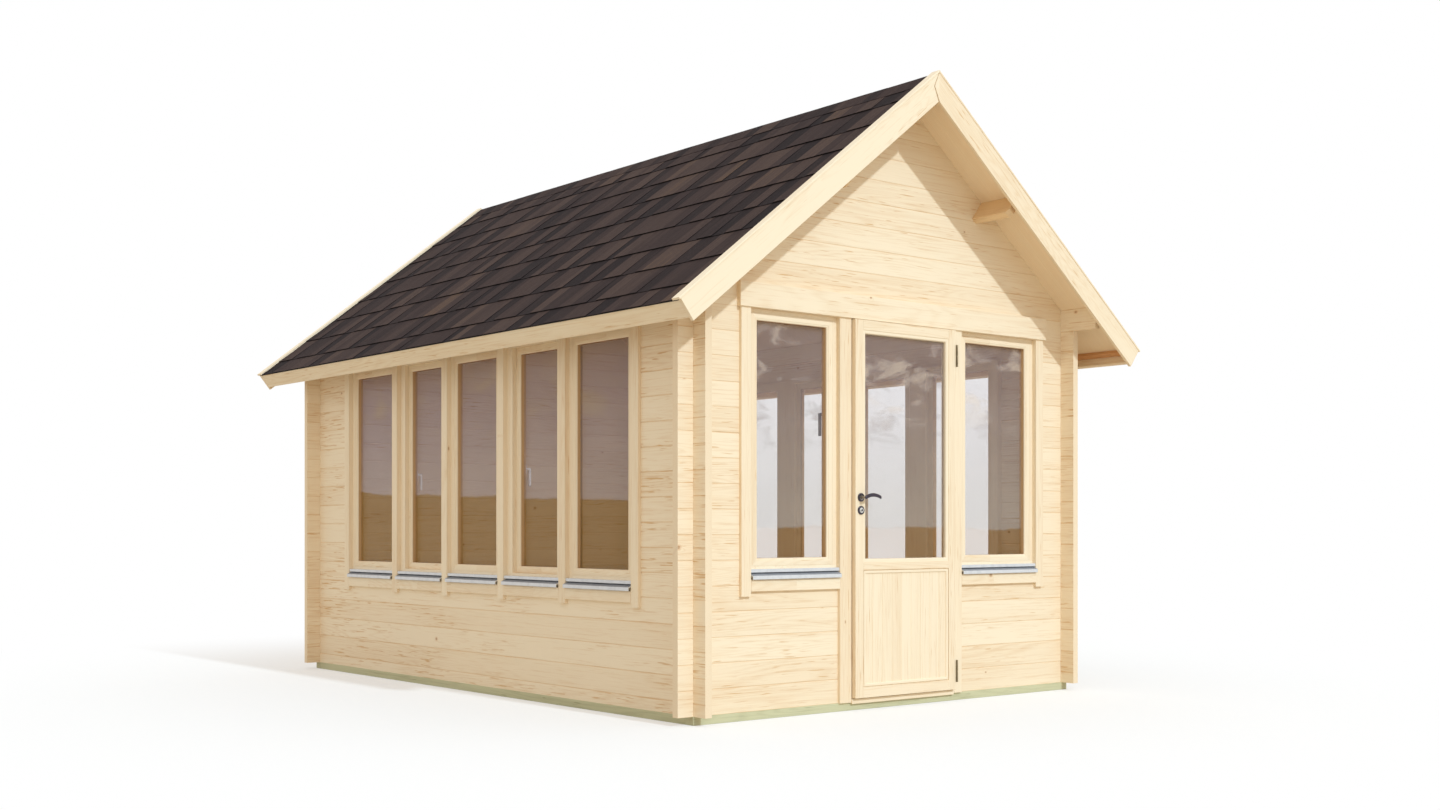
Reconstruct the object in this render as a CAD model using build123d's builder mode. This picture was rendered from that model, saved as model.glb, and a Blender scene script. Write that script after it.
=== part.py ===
"""A garden room of crossed logs with a steep gable roof and a half-glazed door.

X runs along the front wall to the right, Y runs from the front to the back, and Z is up.
The origin lies on the ground under the middle of the roof's plan. Lengths are millimetres.
"""

import os
from dataclasses import dataclass
from math import cos, radians, sin, tan

from build123d import *

os.makedirs("parts", exist_ok=True)

Span = tuple[float, float]

# Walls: solid logs, crossed and notched at the corners
wall_width = 3000.0
wall_length = 4427.0
log_thickness = 44.0
log_height = 134.0
log_end = 100.0
joint_depth = 2.5
joint_half_height = 3.5

# Foundation and floor
bearer_height = 45.0
bearer_width = 70.0
bearer_proud = 8.0
joist_width = 45.0
joist_count = 7
floor_thickness = 18.0
floor_gap = 2.0

# Roof
roof_pitch = 38.0
soffit_apex = 3532.0
slope_length = 2300.0
front_overhang = 320.0
back_overhang = 273.0
roof_board = 19.0
shingle_layer = 6.0
shingle_overhang = 5.0
ridge_strip_width = 125.0
ridge_strip_thickness = 2.0
barge_board = 20.0
barge_depth = 129.0
barge_kink = 38.0
cap_width = 65.0
cap_thickness = 12.0
cap_lip = 8.0
cap_joint = 0.5
fascia_board = 20.0
fascia_depth = 103.0
batten_width = 34.0
batten_depth = 24.0
purlin_width = 44.0
purlin_depth = 134.0
purlin_run = 901.0
purlin_end_gap = 20.0
purlin_bevel = 22.0
plate_step = 12.0
plate_step_height = 34.0

# Window rows: their openings start and end on log joints
courses_below_windows = 5
window_courses = 11
frame_depth = 70.0
frame_setback = 11.0
frame_face = 28.0
frame_top_face = 20.0
frame_bottom_face = 16.0
vent_jamb_face = 57.0
sash_face = 42.0
sash_depth = 44.0
vent_setback = 26.0
pane_thickness = 12.0
pane_setback = 30.0
trim_width = 68.0
trim_thickness = 20.0
trim_drop = 25.0
trim_chamfer = 2.5
sill_board_height = 64.0
sill_board_lap = 34.0
sill_rise = 85.0
sill_fall = 30.0
sill_reach = 34.0
sill_lip = 25.0
sill_sheet = 2.5
handle_level = 1375.0
handle_plate_height = 60.0
handle_plate_width = 26.0
handle_plate_thickness = 9.0
handle_neck = 22.0
handle_grip_length = 112.0
handle_grip_width = 14.0

# Side rows of five windows: three fixed, with two that open between them
side_row_start = 453.0
side_row_pitches = (705.0, 668.0, 679.0, 668.0, 708.0)
side_vents = (1, 3)

# Front row: a window, the door and a wider window
front_row_start = 309.0
left_bay_width = 645.0
left_door_trim = 89.0
door_bay_width = 830.0
right_door_trim = 76.0
right_bay_width = 677.0
header_thickness = 31.0
header_height = 132.0
header_end = 15.0

# Door
leaf_thickness = 41.0
leaf_standoff = 5.0
leaf_gap = 5.0
leaf_stile = 62.0
leaf_top_rail = 56.0
leaf_middle_rail = 42.0
leaf_bottom_rail = 59.0
panel_height = 657.0
panel_thickness = 18.0
panel_setback = 7.0
panel_boards = 9
panel_groove_depth = 2.5
panel_groove_half = 3.0
bead_width = 21.0
bead_depth = 20.0
bead_setback = 3.0
jamb_lap = 15.0
head_lap = 20.0
threshold_reach = 24.0
threshold_drop = 9.0

# Door furniture
lever_level = 1190.0
cylinder_drop = 72.0
furniture_inset = 40.0
rosette_radius = 25.0
rosette_thickness = 8.0
lever_neck_radius = 9.0
lever_neck_play = 1.0
lever_standoff = 44.0
lever_length = 118.0
lever_half_height = 8.0
lever_half_depth = 6.5
lever_rise = 9.0
lever_droop = 5.0
spindle_radius = 4.0
spindle_play = 1.0
cylinder_radius = 8.5
cylinder_plug = 3.0
escutcheon_radius = 24.0
escutcheon_thickness = 8.0
hinge_length = 130.0
hinge_radius = 5.5
hinge_pin_radius = 2.75
hinge_pin_play = 0.5
hinge_flap = 2.0
hinge_play = 1.0
hinge_levels = (112.0, 1968.0)

# Levels that follow: the side walls' joints lie half a log below the front and back walls' joints
pitch = radians(roof_pitch)
half_width = wall_width / 2
front_face = -(front_overhang + wall_length + back_overhang) / 2 + front_overhang
back_face = front_face + wall_length
wall_base = bearer_height
floor_top = bearer_height + floor_thickness
front_first_joint = wall_base + log_height
side_first_joint = wall_base + log_height / 2
front_sill = wall_base + courses_below_windows * log_height
front_head = front_sill + window_courses * log_height
side_sill = front_sill - log_height / 2
side_head = front_head - log_height / 2
front_core = wall_base + log_height / 4
side_core = front_core - log_height / 2

# Outer faces of the walls, as planes whose x runs along the wall, y runs up and z points out
front_plane = Plane(origin=(0, front_face, 0), x_dir=(1, 0, 0), z_dir=(0, -1, 0))
back_plane = Plane(origin=(0, back_face, 0), x_dir=(-1, 0, 0), z_dir=(0, 1, 0))
left_plane = Plane(origin=(-half_width, 0, 0), x_dir=(0, -1, 0), z_dir=(-1, 0, 0))
right_plane = Plane(origin=(half_width, 0, 0), x_dir=(0, 1, 0), z_dir=(1, 0, 0))


@dataclass(frozen=True)
class WindowRow:
    """A row of windows in one wall. All spans run along the x of the wall's plane."""

    name: str
    plane: Plane
    sill: float
    head: float
    openings: list[Span]
    bays: list[Span]
    vents: list[int]
    trims: list[Span]
    trim_base: list[float]


def ordered(first: float, second: float) -> Span:
    """Return two numbers as a span from the lower to the higher."""
    return (min(first, second), max(first, second))


def mirrored(span: Span) -> Span:
    """Return a span's mirror image about zero."""
    return (-span[1], -span[0])


def inset(span: Span, amount: float) -> Span:
    """Shorten a span by an amount at both ends."""
    return (span[0] + amount, span[1] - amount)


def around(middle: float, width: float) -> Span:
    """Return the span of a width about a middle."""
    return (middle - width / 2, middle + width / 2)


def soffit_height(x: float) -> float:
    """Height of the underside of the roof boards at a distance x from the ridge line."""
    return soffit_apex - abs(x) * tan(pitch)


def slope_point(run: float, lift: float, side: int) -> Span:
    """Point (x, z) at a run down the slope from the ridge and a lift square above the soffit."""
    x = run * cos(pitch) + lift * sin(pitch)
    z = soffit_apex - run * sin(pitch) + lift * cos(pitch)
    return (side * x, z)


def ridge_point(lift: float) -> Span:
    """Point (x, z) on the ridge plane at a lift square above the soffit."""
    return (0.0, soffit_apex + lift / cos(pitch))


def slope_layer(lifts: Span, run: float, side: int) -> list[Span]:
    """Outline of a roof layer from the ridge down to a run, between two lifts."""
    low, high = lifts
    return [ridge_point(low), slope_point(run, low, side), slope_point(run, high, side), ridge_point(high)]


def slope_box(runs: Span, lifts: Span, side: int) -> list[Span]:
    """Outline of a board that lies square to the slope, between two runs and two lifts."""
    near, far = runs
    low, high = lifts
    corners = ((near, low), (far, low), (far, high), (near, high))
    return [slope_point(run, lift, side) for run, lift in corners]


def gable_outline(base: float, reach: float) -> list[Span]:
    """Outline of a gable wall from a base, up to the underside of the roof boards."""
    eave = soffit_height(reach)
    return [(-reach, base), (reach, base), (reach, eave), (0.0, soffit_apex), (-reach, eave)]


def prism(plane: Plane, points: list[Span], length: float, mode: Mode = Mode.ADD) -> None:
    """Add or cut a prism: a closed outline of points on a plane, extruded over a length."""
    with BuildSketch(plane) as profile:
        with BuildLine():
            Polyline(*points, close=True)
        make_face()
    extrude(profile.sketch, amount=length, mode=mode)


def along_building(points: list[Span], y_span: Span, mode: Mode = Mode.ADD) -> None:
    """Extrude an outline of (x, z) points from the front to the back of a span in Y."""
    prism(Plane.XZ.offset(-y_span[1]), points, y_span[1] - y_span[0], mode)


def across_wall(plane: Plane, points: list[Span], span: Span) -> None:
    """Extrude an outline of (out, level) points along a wall's plane, over a span."""
    start = plane.from_local_coords((span[1], 0, 0))
    section_plane = Plane(origin=start, x_dir=plane.z_dir, z_dir=-plane.x_dir)
    prism(section_plane, points, span[1] - span[0])


def board(plane: Plane, span: Span, levels: Span, depths: Span, mode: Mode = Mode.ADD) -> None:
    """Add or cut a board on a wall: its span, its levels and its depths out of the wall's face."""
    with BuildSketch(plane.offset(depths[0])) as face:
        with Locations(((span[0] + span[1]) / 2, (levels[0] + levels[1]) / 2)):
            Rectangle(span[1] - span[0], levels[1] - levels[0])
    extrude(face.sketch, amount=depths[1] - depths[0], mode=mode)


def block(x_span: Span, y_span: Span, z_span: Span, mode: Mode = Mode.ADD) -> None:
    """Add or cut a block that fills three spans."""
    centre = [(low + high) / 2 for low, high in (x_span, y_span, z_span)]
    with Locations(tuple(centre)):
        Box(x_span[1] - x_span[0], y_span[1] - y_span[0], z_span[1] - z_span[0], mode=mode)


def rod(plane: Plane, place: Span, radius: float, depths: Span, mode: Mode = Mode.ADD) -> None:
    """Add or cut a round rod square to a wall, at a place on its plane."""
    with BuildSketch(plane.offset(depths[0])) as face:
        with Locations(place):
            Circle(radius)
    extrude(face.sketch, amount=depths[1] - depths[0], mode=mode)


def log_section(levels: Span, first_joint: float) -> list[Span]:
    """Outline (out, level) across a wall of logs, with a small groove at each joint on both faces."""
    base, top = levels
    outer = [(0.0, base)]
    inner = [(-log_thickness, base)]
    joint = first_joint
    while joint < top - joint_half_height:
        if joint > base + joint_half_height:
            for height, depth in ((-joint_half_height, 0.0), (0.0, joint_depth), (joint_half_height, 0.0)):
                outer.append((-depth, joint + height))
                inner.append((depth - log_thickness, joint + height))
        joint += log_height
    outer.append((0.0, top))
    inner.append((-log_thickness, top))
    return outer + inner[::-1]


def cut_cores(x_spans: list[Span], y_spans: list[Span], first: float, levels: Span) -> None:
    """Notch a wall's corners for the half-height cores of the logs that cross it."""
    core = first
    while core < levels[1]:
        z_span = (max(core, levels[0]), min(core + log_height / 2, levels[1]))
        if z_span[1] > z_span[0]:
            for x_span in x_spans:
                for y_span in y_spans:
                    block(x_span, y_span, z_span, Mode.SUBTRACT)
        core += log_height


def ridge_purlin_outline() -> list[Span]:
    """Outline of the ridge purlin, with its top bevelled to both slopes."""
    half = purlin_width / 2
    base = soffit_apex - purlin_depth
    return [(-half, base), (half, base), (half, soffit_height(half)), (0.0, soffit_apex), (-half, soffit_height(half))]


def side_purlin_outline(side: int) -> list[Span]:
    """Outline of a purlin half-way down a slope, square to the roof boards."""
    return slope_box((purlin_run, purlin_run + purlin_width), (-purlin_depth, 0.0), side)


def cut_purlin_seats(y_span: Span) -> None:
    """Notch a gable wall for the three purlins."""
    along_building(ridge_purlin_outline(), y_span, Mode.SUBTRACT)
    for side in (-1, 1):
        along_building(side_purlin_outline(side), y_span, Mode.SUBTRACT)


# Side rows: trims at the given pitches, with a bay between each two
side_trims = [(front_face + side_row_start, front_face + side_row_start + trim_width)]
for row_pitch in side_row_pitches:
    start = side_trims[-1][0] + row_pitch
    side_trims.append((start, start + trim_width))
side_bays = [(side_trims[index][1], side_trims[index + 1][0]) for index in range(len(side_row_pitches))]
side_opening = (side_trims[0][0] + trim_width / 2, side_trims[-1][1] - trim_width / 2)

# Front row: the door between two windows
left_trim = (front_row_start - half_width, front_row_start - half_width + trim_width)
left_bay = (left_trim[1], left_trim[1] + left_bay_width)
door_bay = (left_bay[1] + left_door_trim, left_bay[1] + left_door_trim + door_bay_width)
right_bay = (door_bay[1] + right_door_trim, door_bay[1] + right_door_trim + right_bay_width)
right_trim = (right_bay[1], right_bay[1] + trim_width)
front_opening = (left_trim[0] + trim_width / 2, right_trim[1] - trim_width / 2)
door_opening = (left_bay[1] + trim_width / 2, right_bay[0] - trim_width / 2)

front_row = WindowRow(
    name="front",
    plane=front_plane,
    sill=front_sill,
    head=front_head,
    openings=[(front_opening[0], door_opening[0]), (door_opening[1], front_opening[1])],
    bays=[left_bay, right_bay],
    vents=[],
    trims=[left_trim, (left_bay[1], door_bay[0]), (door_bay[1], right_bay[0]), right_trim],
    trim_base=[front_sill - sill_board_lap - trim_drop, wall_base, wall_base, front_sill - sill_board_lap - trim_drop],
)
left_row = WindowRow(
    name="left",
    plane=left_plane,
    sill=side_sill,
    head=side_head,
    openings=[mirrored(side_opening)],
    bays=[mirrored(bay) for bay in side_bays],
    vents=list(side_vents),
    trims=[mirrored(trim) for trim in side_trims],
    trim_base=[side_sill - sill_board_lap - trim_drop] * len(side_trims),
)
right_row = WindowRow(
    name="right",
    plane=right_plane,
    sill=side_sill,
    head=side_head,
    openings=[side_opening],
    bays=side_bays,
    vents=list(side_vents),
    trims=side_trims,
    trim_base=[side_sill - sill_board_lap - trim_drop] * len(side_trims),
)
window_rows = (front_row, left_row, right_row)

# Foundation: treated bearers under the walls, with joists between them
bearer_x = half_width + bearer_proud / 2
bearer_front_y = (front_face - bearer_proud, front_face - bearer_proud + bearer_width)
bearer_back_y = (back_face + bearer_proud - bearer_width, back_face + bearer_proud)
with BuildPart() as bearer_front:
    block((-bearer_x, bearer_x), bearer_front_y, (0, bearer_height))
bearer_front.part.label = "bearer_front"
export_step(bearer_front.part, "parts/bearer_front.step")

with BuildPart() as bearer_back:
    block((-bearer_x, bearer_x), bearer_back_y, (0, bearer_height))
bearer_back.part.label = "bearer_back"
export_step(bearer_back.part, "parts/bearer_back.step")

with BuildPart() as side_bearers:
    for side in (-1, 1):
        side_bearer_x = ordered(side * (bearer_x - bearer_width), side * bearer_x)
        block(side_bearer_x, (bearer_front_y[1], bearer_back_y[0]), (0, bearer_height))
side_bearers.part.label = "side_bearers"
export_step(side_bearers.part, "parts/side_bearers.step")

with BuildPart() as floor_joists:
    joist_pitch = (bearer_back_y[0] - bearer_front_y[1]) / (joist_count + 1)
    joist_x = bearer_x - bearer_width
    for index in range(joist_count):
        joist_y = around(bearer_front_y[1] + (index + 1) * joist_pitch, joist_width)
        block((-joist_x, joist_x), joist_y, (0, bearer_height))
floor_joists.part.label = "floor_joists"
export_step(floor_joists.part, "parts/floor_joists.step")

with BuildPart() as floor_boards:
    floor_x = half_width - log_thickness - floor_gap
    floor_y = (front_face + log_thickness + floor_gap, back_face - log_thickness - floor_gap)
    block((-floor_x, floor_x), floor_y, (bearer_height, floor_top))
floor_boards.part.label = "floor_boards"
export_step(floor_boards.part, "parts/floor_boards.step")

# Gable ends: the barge boards' spans, and the roof's span between them
barge_front_y = (front_face - front_overhang, front_face - front_overhang + barge_board)
barge_back_y = (back_face + back_overhang - barge_board, back_face + back_overhang)
deck_y = (barge_front_y[1], barge_back_y[0])

# Walls: where two walls cross, each log keeps its core and gives up the other wall's
wall_reach = half_width + log_end
corner_top = soffit_height(half_width - log_thickness)
left_zone = (-half_width, log_thickness - half_width)
right_zone = (half_width - log_thickness, half_width)
front_zone = (front_face, front_face + log_thickness)
back_zone = (back_face - log_thickness, back_face)

with BuildPart() as front_wall_left:
    across_wall(front_plane, log_section((wall_base, front_head), front_first_joint), (-wall_reach, front_opening[0]))
    across_wall(front_plane, log_section((wall_base, front_sill), front_first_joint), front_row.openings[0])
    cut_cores([left_zone], [front_zone], side_core, (wall_base, front_head))
front_wall_left.part.label = "front_wall_left"
export_step(front_wall_left.part, "parts/front_wall_left.step")

with BuildPart() as front_wall_right:
    across_wall(front_plane, log_section((wall_base, front_head), front_first_joint), (front_opening[1], wall_reach))
    across_wall(front_plane, log_section((wall_base, front_sill), front_first_joint), front_row.openings[1])
    cut_cores([right_zone], [front_zone], side_core, (wall_base, front_head))
front_wall_right.part.label = "front_wall_right"
export_step(front_wall_right.part, "parts/front_wall_right.step")

with BuildPart() as front_gable:
    across_wall(front_plane, log_section((front_head, soffit_apex), front_first_joint), (-wall_reach, wall_reach))
    along_building(gable_outline(front_head, wall_reach), front_zone, Mode.INTERSECT)
    cut_cores([left_zone, right_zone], [front_zone], side_core, (front_head, corner_top))
    cut_purlin_seats(front_zone)
front_gable.part.label = "front_gable"
export_step(front_gable.part, "parts/front_gable.step")

with BuildPart() as back_wall:
    across_wall(back_plane, log_section((wall_base, soffit_apex), front_first_joint), (-wall_reach, wall_reach))
    along_building(gable_outline(wall_base, wall_reach), back_zone, Mode.INTERSECT)
    cut_cores([left_zone, right_zone], [back_zone], side_core, (wall_base, corner_top))
    cut_purlin_seats(back_zone)
back_wall.part.label = "back_wall"
export_step(back_wall.part, "parts/back_wall.step")

# Side walls: one opening for the whole row, and a top log that runs out under the overhangs
plate_joint = side_first_joint
while plate_joint + log_height < soffit_height(half_width):
    plate_joint += log_height
plate_y = (barge_front_y[1] + purlin_end_gap, barge_back_y[0] - purlin_end_gap)
for row, zone in ((left_row, left_zone), (right_row, right_zone)):
    with BuildPart() as side_wall:
        plate_span = plate_y if row is right_row else mirrored(plate_y)
        across_wall(row.plane, log_section((wall_base, corner_top), side_first_joint), plate_span)
        along_building(gable_outline(wall_base, half_width), plate_y, Mode.INTERSECT)
        block(zone, (plate_y[0], front_face - log_end), (wall_base, plate_joint), Mode.SUBTRACT)
        block(zone, (back_face + log_end, plate_y[1]), (wall_base, plate_joint), Mode.SUBTRACT)
        step_levels = (plate_joint, plate_joint + plate_step_height)
        block(zone, (plate_y[0], plate_y[0] + plate_step), step_levels, Mode.SUBTRACT)
        block(zone, (plate_y[1] - plate_step, plate_y[1]), step_levels, Mode.SUBTRACT)
        block(zone, side_opening, (side_sill, side_head), Mode.SUBTRACT)
        cut_cores([zone], [front_zone, back_zone], front_core, (wall_base, corner_top))
    side_wall.part.label = f"{row.name}_wall"
    export_step(side_wall.part, f"parts/{row.name}_wall.step")

# Windows: a frame in each opening, with a sash and a pane in each bay
for row in window_rows:
    faces = [vent_jamb_face if index in row.vents else frame_face for index in range(len(row.bays))]
    setbacks = [vent_setback if index in row.vents else 0.0 for index in range(len(row.bays))]
    cells = [inset(bay, face) for bay, face in zip(row.bays, faces)]
    cell_levels = (row.sill + sill_rise + frame_bottom_face, row.head - frame_top_face)
    frame_depths = (-frame_setback - frame_depth, -frame_setback)

    with BuildPart() as window_frame:
        for opening in row.openings:
            board(row.plane, opening, (row.sill, row.head), frame_depths)
        for cell in cells:
            board(row.plane, cell, cell_levels, frame_depths, Mode.SUBTRACT)
    window_frame.part.label = f"{row.name}_window_frame"
    export_step(window_frame.part, f"parts/{row.name}_window_frame.step")

    with BuildPart() as sashes:
        for cell, setback in zip(cells, setbacks):
            sash_face_out = -frame_setback - setback
            sash_depths = (sash_face_out - sash_depth, sash_face_out)
            board(row.plane, cell, cell_levels, sash_depths)
            board(row.plane, inset(cell, sash_face), inset(cell_levels, sash_face), sash_depths, Mode.SUBTRACT)
    sashes.part.label = f"{row.name}_sashes"
    export_step(sashes.part, f"parts/{row.name}_sashes.step")

    with BuildPart() as panes:
        for cell, setback in zip(cells, setbacks):
            pane_out = -frame_setback - setback - pane_setback
            pane_depths = (pane_out - pane_thickness, pane_out)
            board(row.plane, inset(cell, sash_face), inset(cell_levels, sash_face), pane_depths)
    panes.part.label = f"{row.name}_panes"
    export_step(panes.part, f"parts/{row.name}_panes.step")

    with BuildPart() as trims:
        for trim, base in zip(row.trims, row.trim_base):
            board(row.plane, trim, (base, row.head), (0, trim_thickness))
        upright_edges = trims.edges().filter_by(Axis.Z)
        chamfer(upright_edges.group_by(Axis(row.plane.origin, row.plane.z_dir))[-1], trim_chamfer)
        for trim in row.trims:
            for opening in row.openings:
                rebate = (max(trim[0], opening[0]), min(trim[1], opening[1]))
                if rebate[0] < rebate[1]:
                    board(row.plane, rebate, (row.sill, row.head), (-frame_setback, 0))
    trims.part.label = f"{row.name}_window_trims"
    export_step(trims.part, f"parts/{row.name}_window_trims.step")

# Sills: a board under each bay, and a folded sheet above it that sheds the rain
with BuildPart() as sill_boards:
    for row in window_rows:
        board_base = row.sill - sill_board_lap
        for bay in row.bays:
            board(row.plane, bay, (board_base, board_base + sill_board_height), (0, trim_thickness))
            board(row.plane, bay, (row.sill, board_base + sill_board_height), (-frame_setback, 0))
sill_boards.part.label = "sill_boards"
export_step(sill_boards.part, "parts/sill_boards.step")

with BuildPart() as window_sills:
    for row in window_rows:
        sill_top = row.sill + sill_rise
        sill_front = sill_top - sill_fall
        sill_outline = [
            (-frame_setback, sill_top),
            (sill_reach, sill_front),
            (sill_reach, sill_front - sill_lip),
            (sill_reach - sill_sheet, sill_front - sill_lip),
            (sill_reach - sill_sheet, sill_front - sill_sheet),
            (-frame_setback, sill_top - sill_sheet),
        ]
        for bay in row.bays:
            across_wall(row.plane, sill_outline, bay)
window_sills.part.label = "window_sills"
export_step(window_sills.part, "parts/window_sills.step")

# Window handles: inside, on the rear stile of each sash that opens
with BuildPart() as window_handles:
    for row, rear in ((left_row, 0), (right_row, 1)):
        for index in row.vents:
            stile_edge = inset(row.bays[index], vent_jamb_face + sash_face / 2)[rear]
            plate_out = -frame_setback - vent_setback - sash_depth
            neck_out = plate_out - handle_plate_thickness
            grip_out = neck_out - handle_neck
            grip_top = handle_level + handle_grip_width / 2
            plate_span = around(stile_edge, handle_plate_width)
            grip_span = around(stile_edge, handle_grip_width)
            board(row.plane, plate_span, around(handle_level, handle_plate_height), (neck_out, plate_out))
            board(row.plane, grip_span, around(handle_level, handle_grip_width), (grip_out, neck_out))
            grip_levels = (grip_top - handle_grip_length, grip_top)
            board(row.plane, grip_span, grip_levels, (grip_out - handle_grip_width, grip_out))
window_handles.part.label = "window_handles"
export_step(window_handles.part, "parts/window_handles.step")

# Header board over the whole front row
with BuildPart() as header_board:
    header_span = (left_trim[0] - header_end, right_trim[1] + header_end)
    board(front_plane, header_span, (front_head, front_head + header_height), (0, header_thickness))
header_board.part.label = "header_board"
export_step(header_board.part, "parts/header_board.step")

# Door frame and threshold
with BuildPart() as door_frame:
    frame_levels = (wall_base, front_head)
    board(front_plane, (door_opening[0], door_bay[0] + jamb_lap), frame_levels, (-log_thickness, 0))
    board(front_plane, (door_bay[1] - jamb_lap, door_opening[1]), frame_levels, (-log_thickness, 0))
    head_levels = (front_head - leaf_gap - head_lap, front_head)
    board(front_plane, inset(door_bay, jamb_lap), head_levels, (-log_thickness, 0))
door_frame.part.label = "door_frame"
export_step(door_frame.part, "parts/door_frame.step")

with BuildPart() as threshold:
    board(front_plane, inset(door_bay, jamb_lap), (wall_base, floor_top), (-log_thickness, 0))
    board(front_plane, door_bay, (wall_base, floor_top), (0, threshold_reach))
    nose_depths = (bearer_proud, threshold_reach)
    board(front_plane, door_bay, (wall_base - threshold_drop, wall_base), nose_depths)
threshold.part.label = "threshold"
export_step(threshold.part, "parts/threshold.step")

# Door leaf: stiles and rails round a pane above and a boarded panel below
leaf_span = inset(door_bay, leaf_gap)
leaf_levels = (floor_top + leaf_gap, front_head - leaf_gap)
leaf_depths = (leaf_standoff, leaf_standoff + leaf_thickness)
leaf_face = leaf_depths[1]
leaf_inner_span = inset(leaf_span, leaf_stile)
panel_levels = (leaf_levels[0] + leaf_bottom_rail, leaf_levels[0] + leaf_bottom_rail + panel_height)
glass_levels = (panel_levels[1] + leaf_middle_rail, leaf_levels[1] - leaf_top_rail)
lever_place = (leaf_span[0] + furniture_inset, lever_level)
cylinder_place = (leaf_span[0] + furniture_inset, lever_level - cylinder_drop)
with BuildPart() as door_leaf:
    board(front_plane, leaf_span, leaf_levels, leaf_depths)
    board(front_plane, leaf_inner_span, panel_levels, leaf_depths, Mode.SUBTRACT)
    board(front_plane, leaf_inner_span, glass_levels, leaf_depths, Mode.SUBTRACT)
    rod(front_plane, lever_place, spindle_radius + spindle_play, leaf_depths, Mode.SUBTRACT)
    rod(front_plane, cylinder_place, cylinder_radius, leaf_depths, Mode.SUBTRACT)
door_leaf.part.label = "door_leaf"
export_step(door_leaf.part, "parts/door_leaf.step")

# The pane lies between an outer and an inner ring of beads
pane_face = leaf_face - bead_setback - bead_depth
with BuildPart() as door_beads:
    for depths in ((pane_face, leaf_face - bead_setback), (leaf_standoff, pane_face - pane_thickness)):
        board(front_plane, leaf_inner_span, glass_levels, depths)
        board(front_plane, inset(leaf_inner_span, bead_width), inset(glass_levels, bead_width), depths, Mode.SUBTRACT)
door_beads.part.label = "door_beads"
export_step(door_beads.part, "parts/door_beads.step")

with BuildPart() as door_glass:
    board(front_plane, leaf_inner_span, glass_levels, (pane_face - pane_thickness, pane_face))
door_glass.part.label = "door_glass"
export_step(door_glass.part, "parts/door_glass.step")

# The panel's upright boards meet in a small groove on both faces
with BuildPart() as door_panel:
    panel_out = leaf_face - panel_setback
    outer_edge = [(leaf_inner_span[0], front_face - panel_out)]
    inner_edge = [(leaf_inner_span[0], front_face - panel_out + panel_thickness)]
    board_width = (leaf_inner_span[1] - leaf_inner_span[0]) / panel_boards
    for index in range(1, panel_boards):
        groove = leaf_inner_span[0] + index * board_width
        for offset, depth in ((-panel_groove_half, 0.0), (0.0, panel_groove_depth), (panel_groove_half, 0.0)):
            outer_edge.append((groove + offset, outer_edge[0][1] + depth))
            inner_edge.append((groove + offset, inner_edge[0][1] - depth))
    outer_edge.append((leaf_inner_span[1], outer_edge[0][1]))
    inner_edge.append((leaf_inner_span[1], inner_edge[0][1]))
    prism(Plane.XY.offset(panel_levels[0]), outer_edge + inner_edge[::-1], panel_height)
door_panel.part.label = "door_panel"
export_step(door_panel.part, "parts/door_panel.step")

# Door furniture: a lever on each side on one spindle, and a lock cylinder below
with BuildPart() as door_rosettes:
    for depths in ((leaf_face, leaf_face + rosette_thickness), (leaf_standoff - rosette_thickness, leaf_standoff)):
        rod(front_plane, lever_place, rosette_radius, depths)
        rod(front_plane, lever_place, lever_neck_radius + lever_neck_play, depths, Mode.SUBTRACT)
door_rosettes.part.label = "door_rosettes"
export_step(door_rosettes.part, "parts/door_rosettes.step")

with BuildPart() as door_cylinder:
    outer_end = leaf_face + escutcheon_thickness + cylinder_plug
    inner_end = leaf_standoff - escutcheon_thickness - cylinder_plug
    rod(front_plane, cylinder_place, cylinder_radius, (inner_end, outer_end))
    rod(front_plane, cylinder_place, escutcheon_radius, (leaf_face, leaf_face + escutcheon_thickness))
    rod(front_plane, cylinder_place, escutcheon_radius, (leaf_standoff - escutcheon_thickness, leaf_standoff))
door_cylinder.part.label = "door_cylinder"
export_step(door_cylinder.part, "parts/door_cylinder.step")

with BuildPart() as door_lever:
    grip_middles = (leaf_face + lever_standoff, leaf_standoff - lever_standoff)
    rod(front_plane, lever_place, spindle_radius, (grip_middles[1], grip_middles[0]))
    rod(front_plane, lever_place, lever_neck_radius, (leaf_face + lever_neck_play, grip_middles[0]))
    rod(front_plane, lever_place, lever_neck_radius, (grip_middles[1], leaf_standoff - lever_neck_play))
    for middle in grip_middles:
        with BuildSketch(front_plane.offset(middle - lever_half_depth)):
            with Locations(lever_place):
                Circle(lever_neck_radius)
            hub_x, hub_z = lever_place
            tip_x = hub_x + lever_length
            bend_x = hub_x + lever_length / 2
            with BuildLine():
                ThreePointArc(
                    (hub_x, hub_z + lever_half_height),
                    (bend_x, hub_z + lever_rise + lever_half_height),
                    (tip_x, hub_z - lever_droop + lever_half_height / 2),
                )
                Line(
                    (tip_x, hub_z - lever_droop + lever_half_height / 2),
                    (tip_x, hub_z - lever_droop - lever_half_height / 2),
                )
                ThreePointArc(
                    (tip_x, hub_z - lever_droop - lever_half_height / 2),
                    (bend_x, hub_z + lever_rise - lever_half_height),
                    (hub_x, hub_z - lever_half_height),
                )
                Line((hub_x, hub_z - lever_half_height), (hub_x, hub_z + lever_half_height))
            make_face()
        extrude(amount=2 * lever_half_depth)
door_lever.part.label = "door_lever"
export_step(door_lever.part, "parts/door_lever.step")

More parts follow.
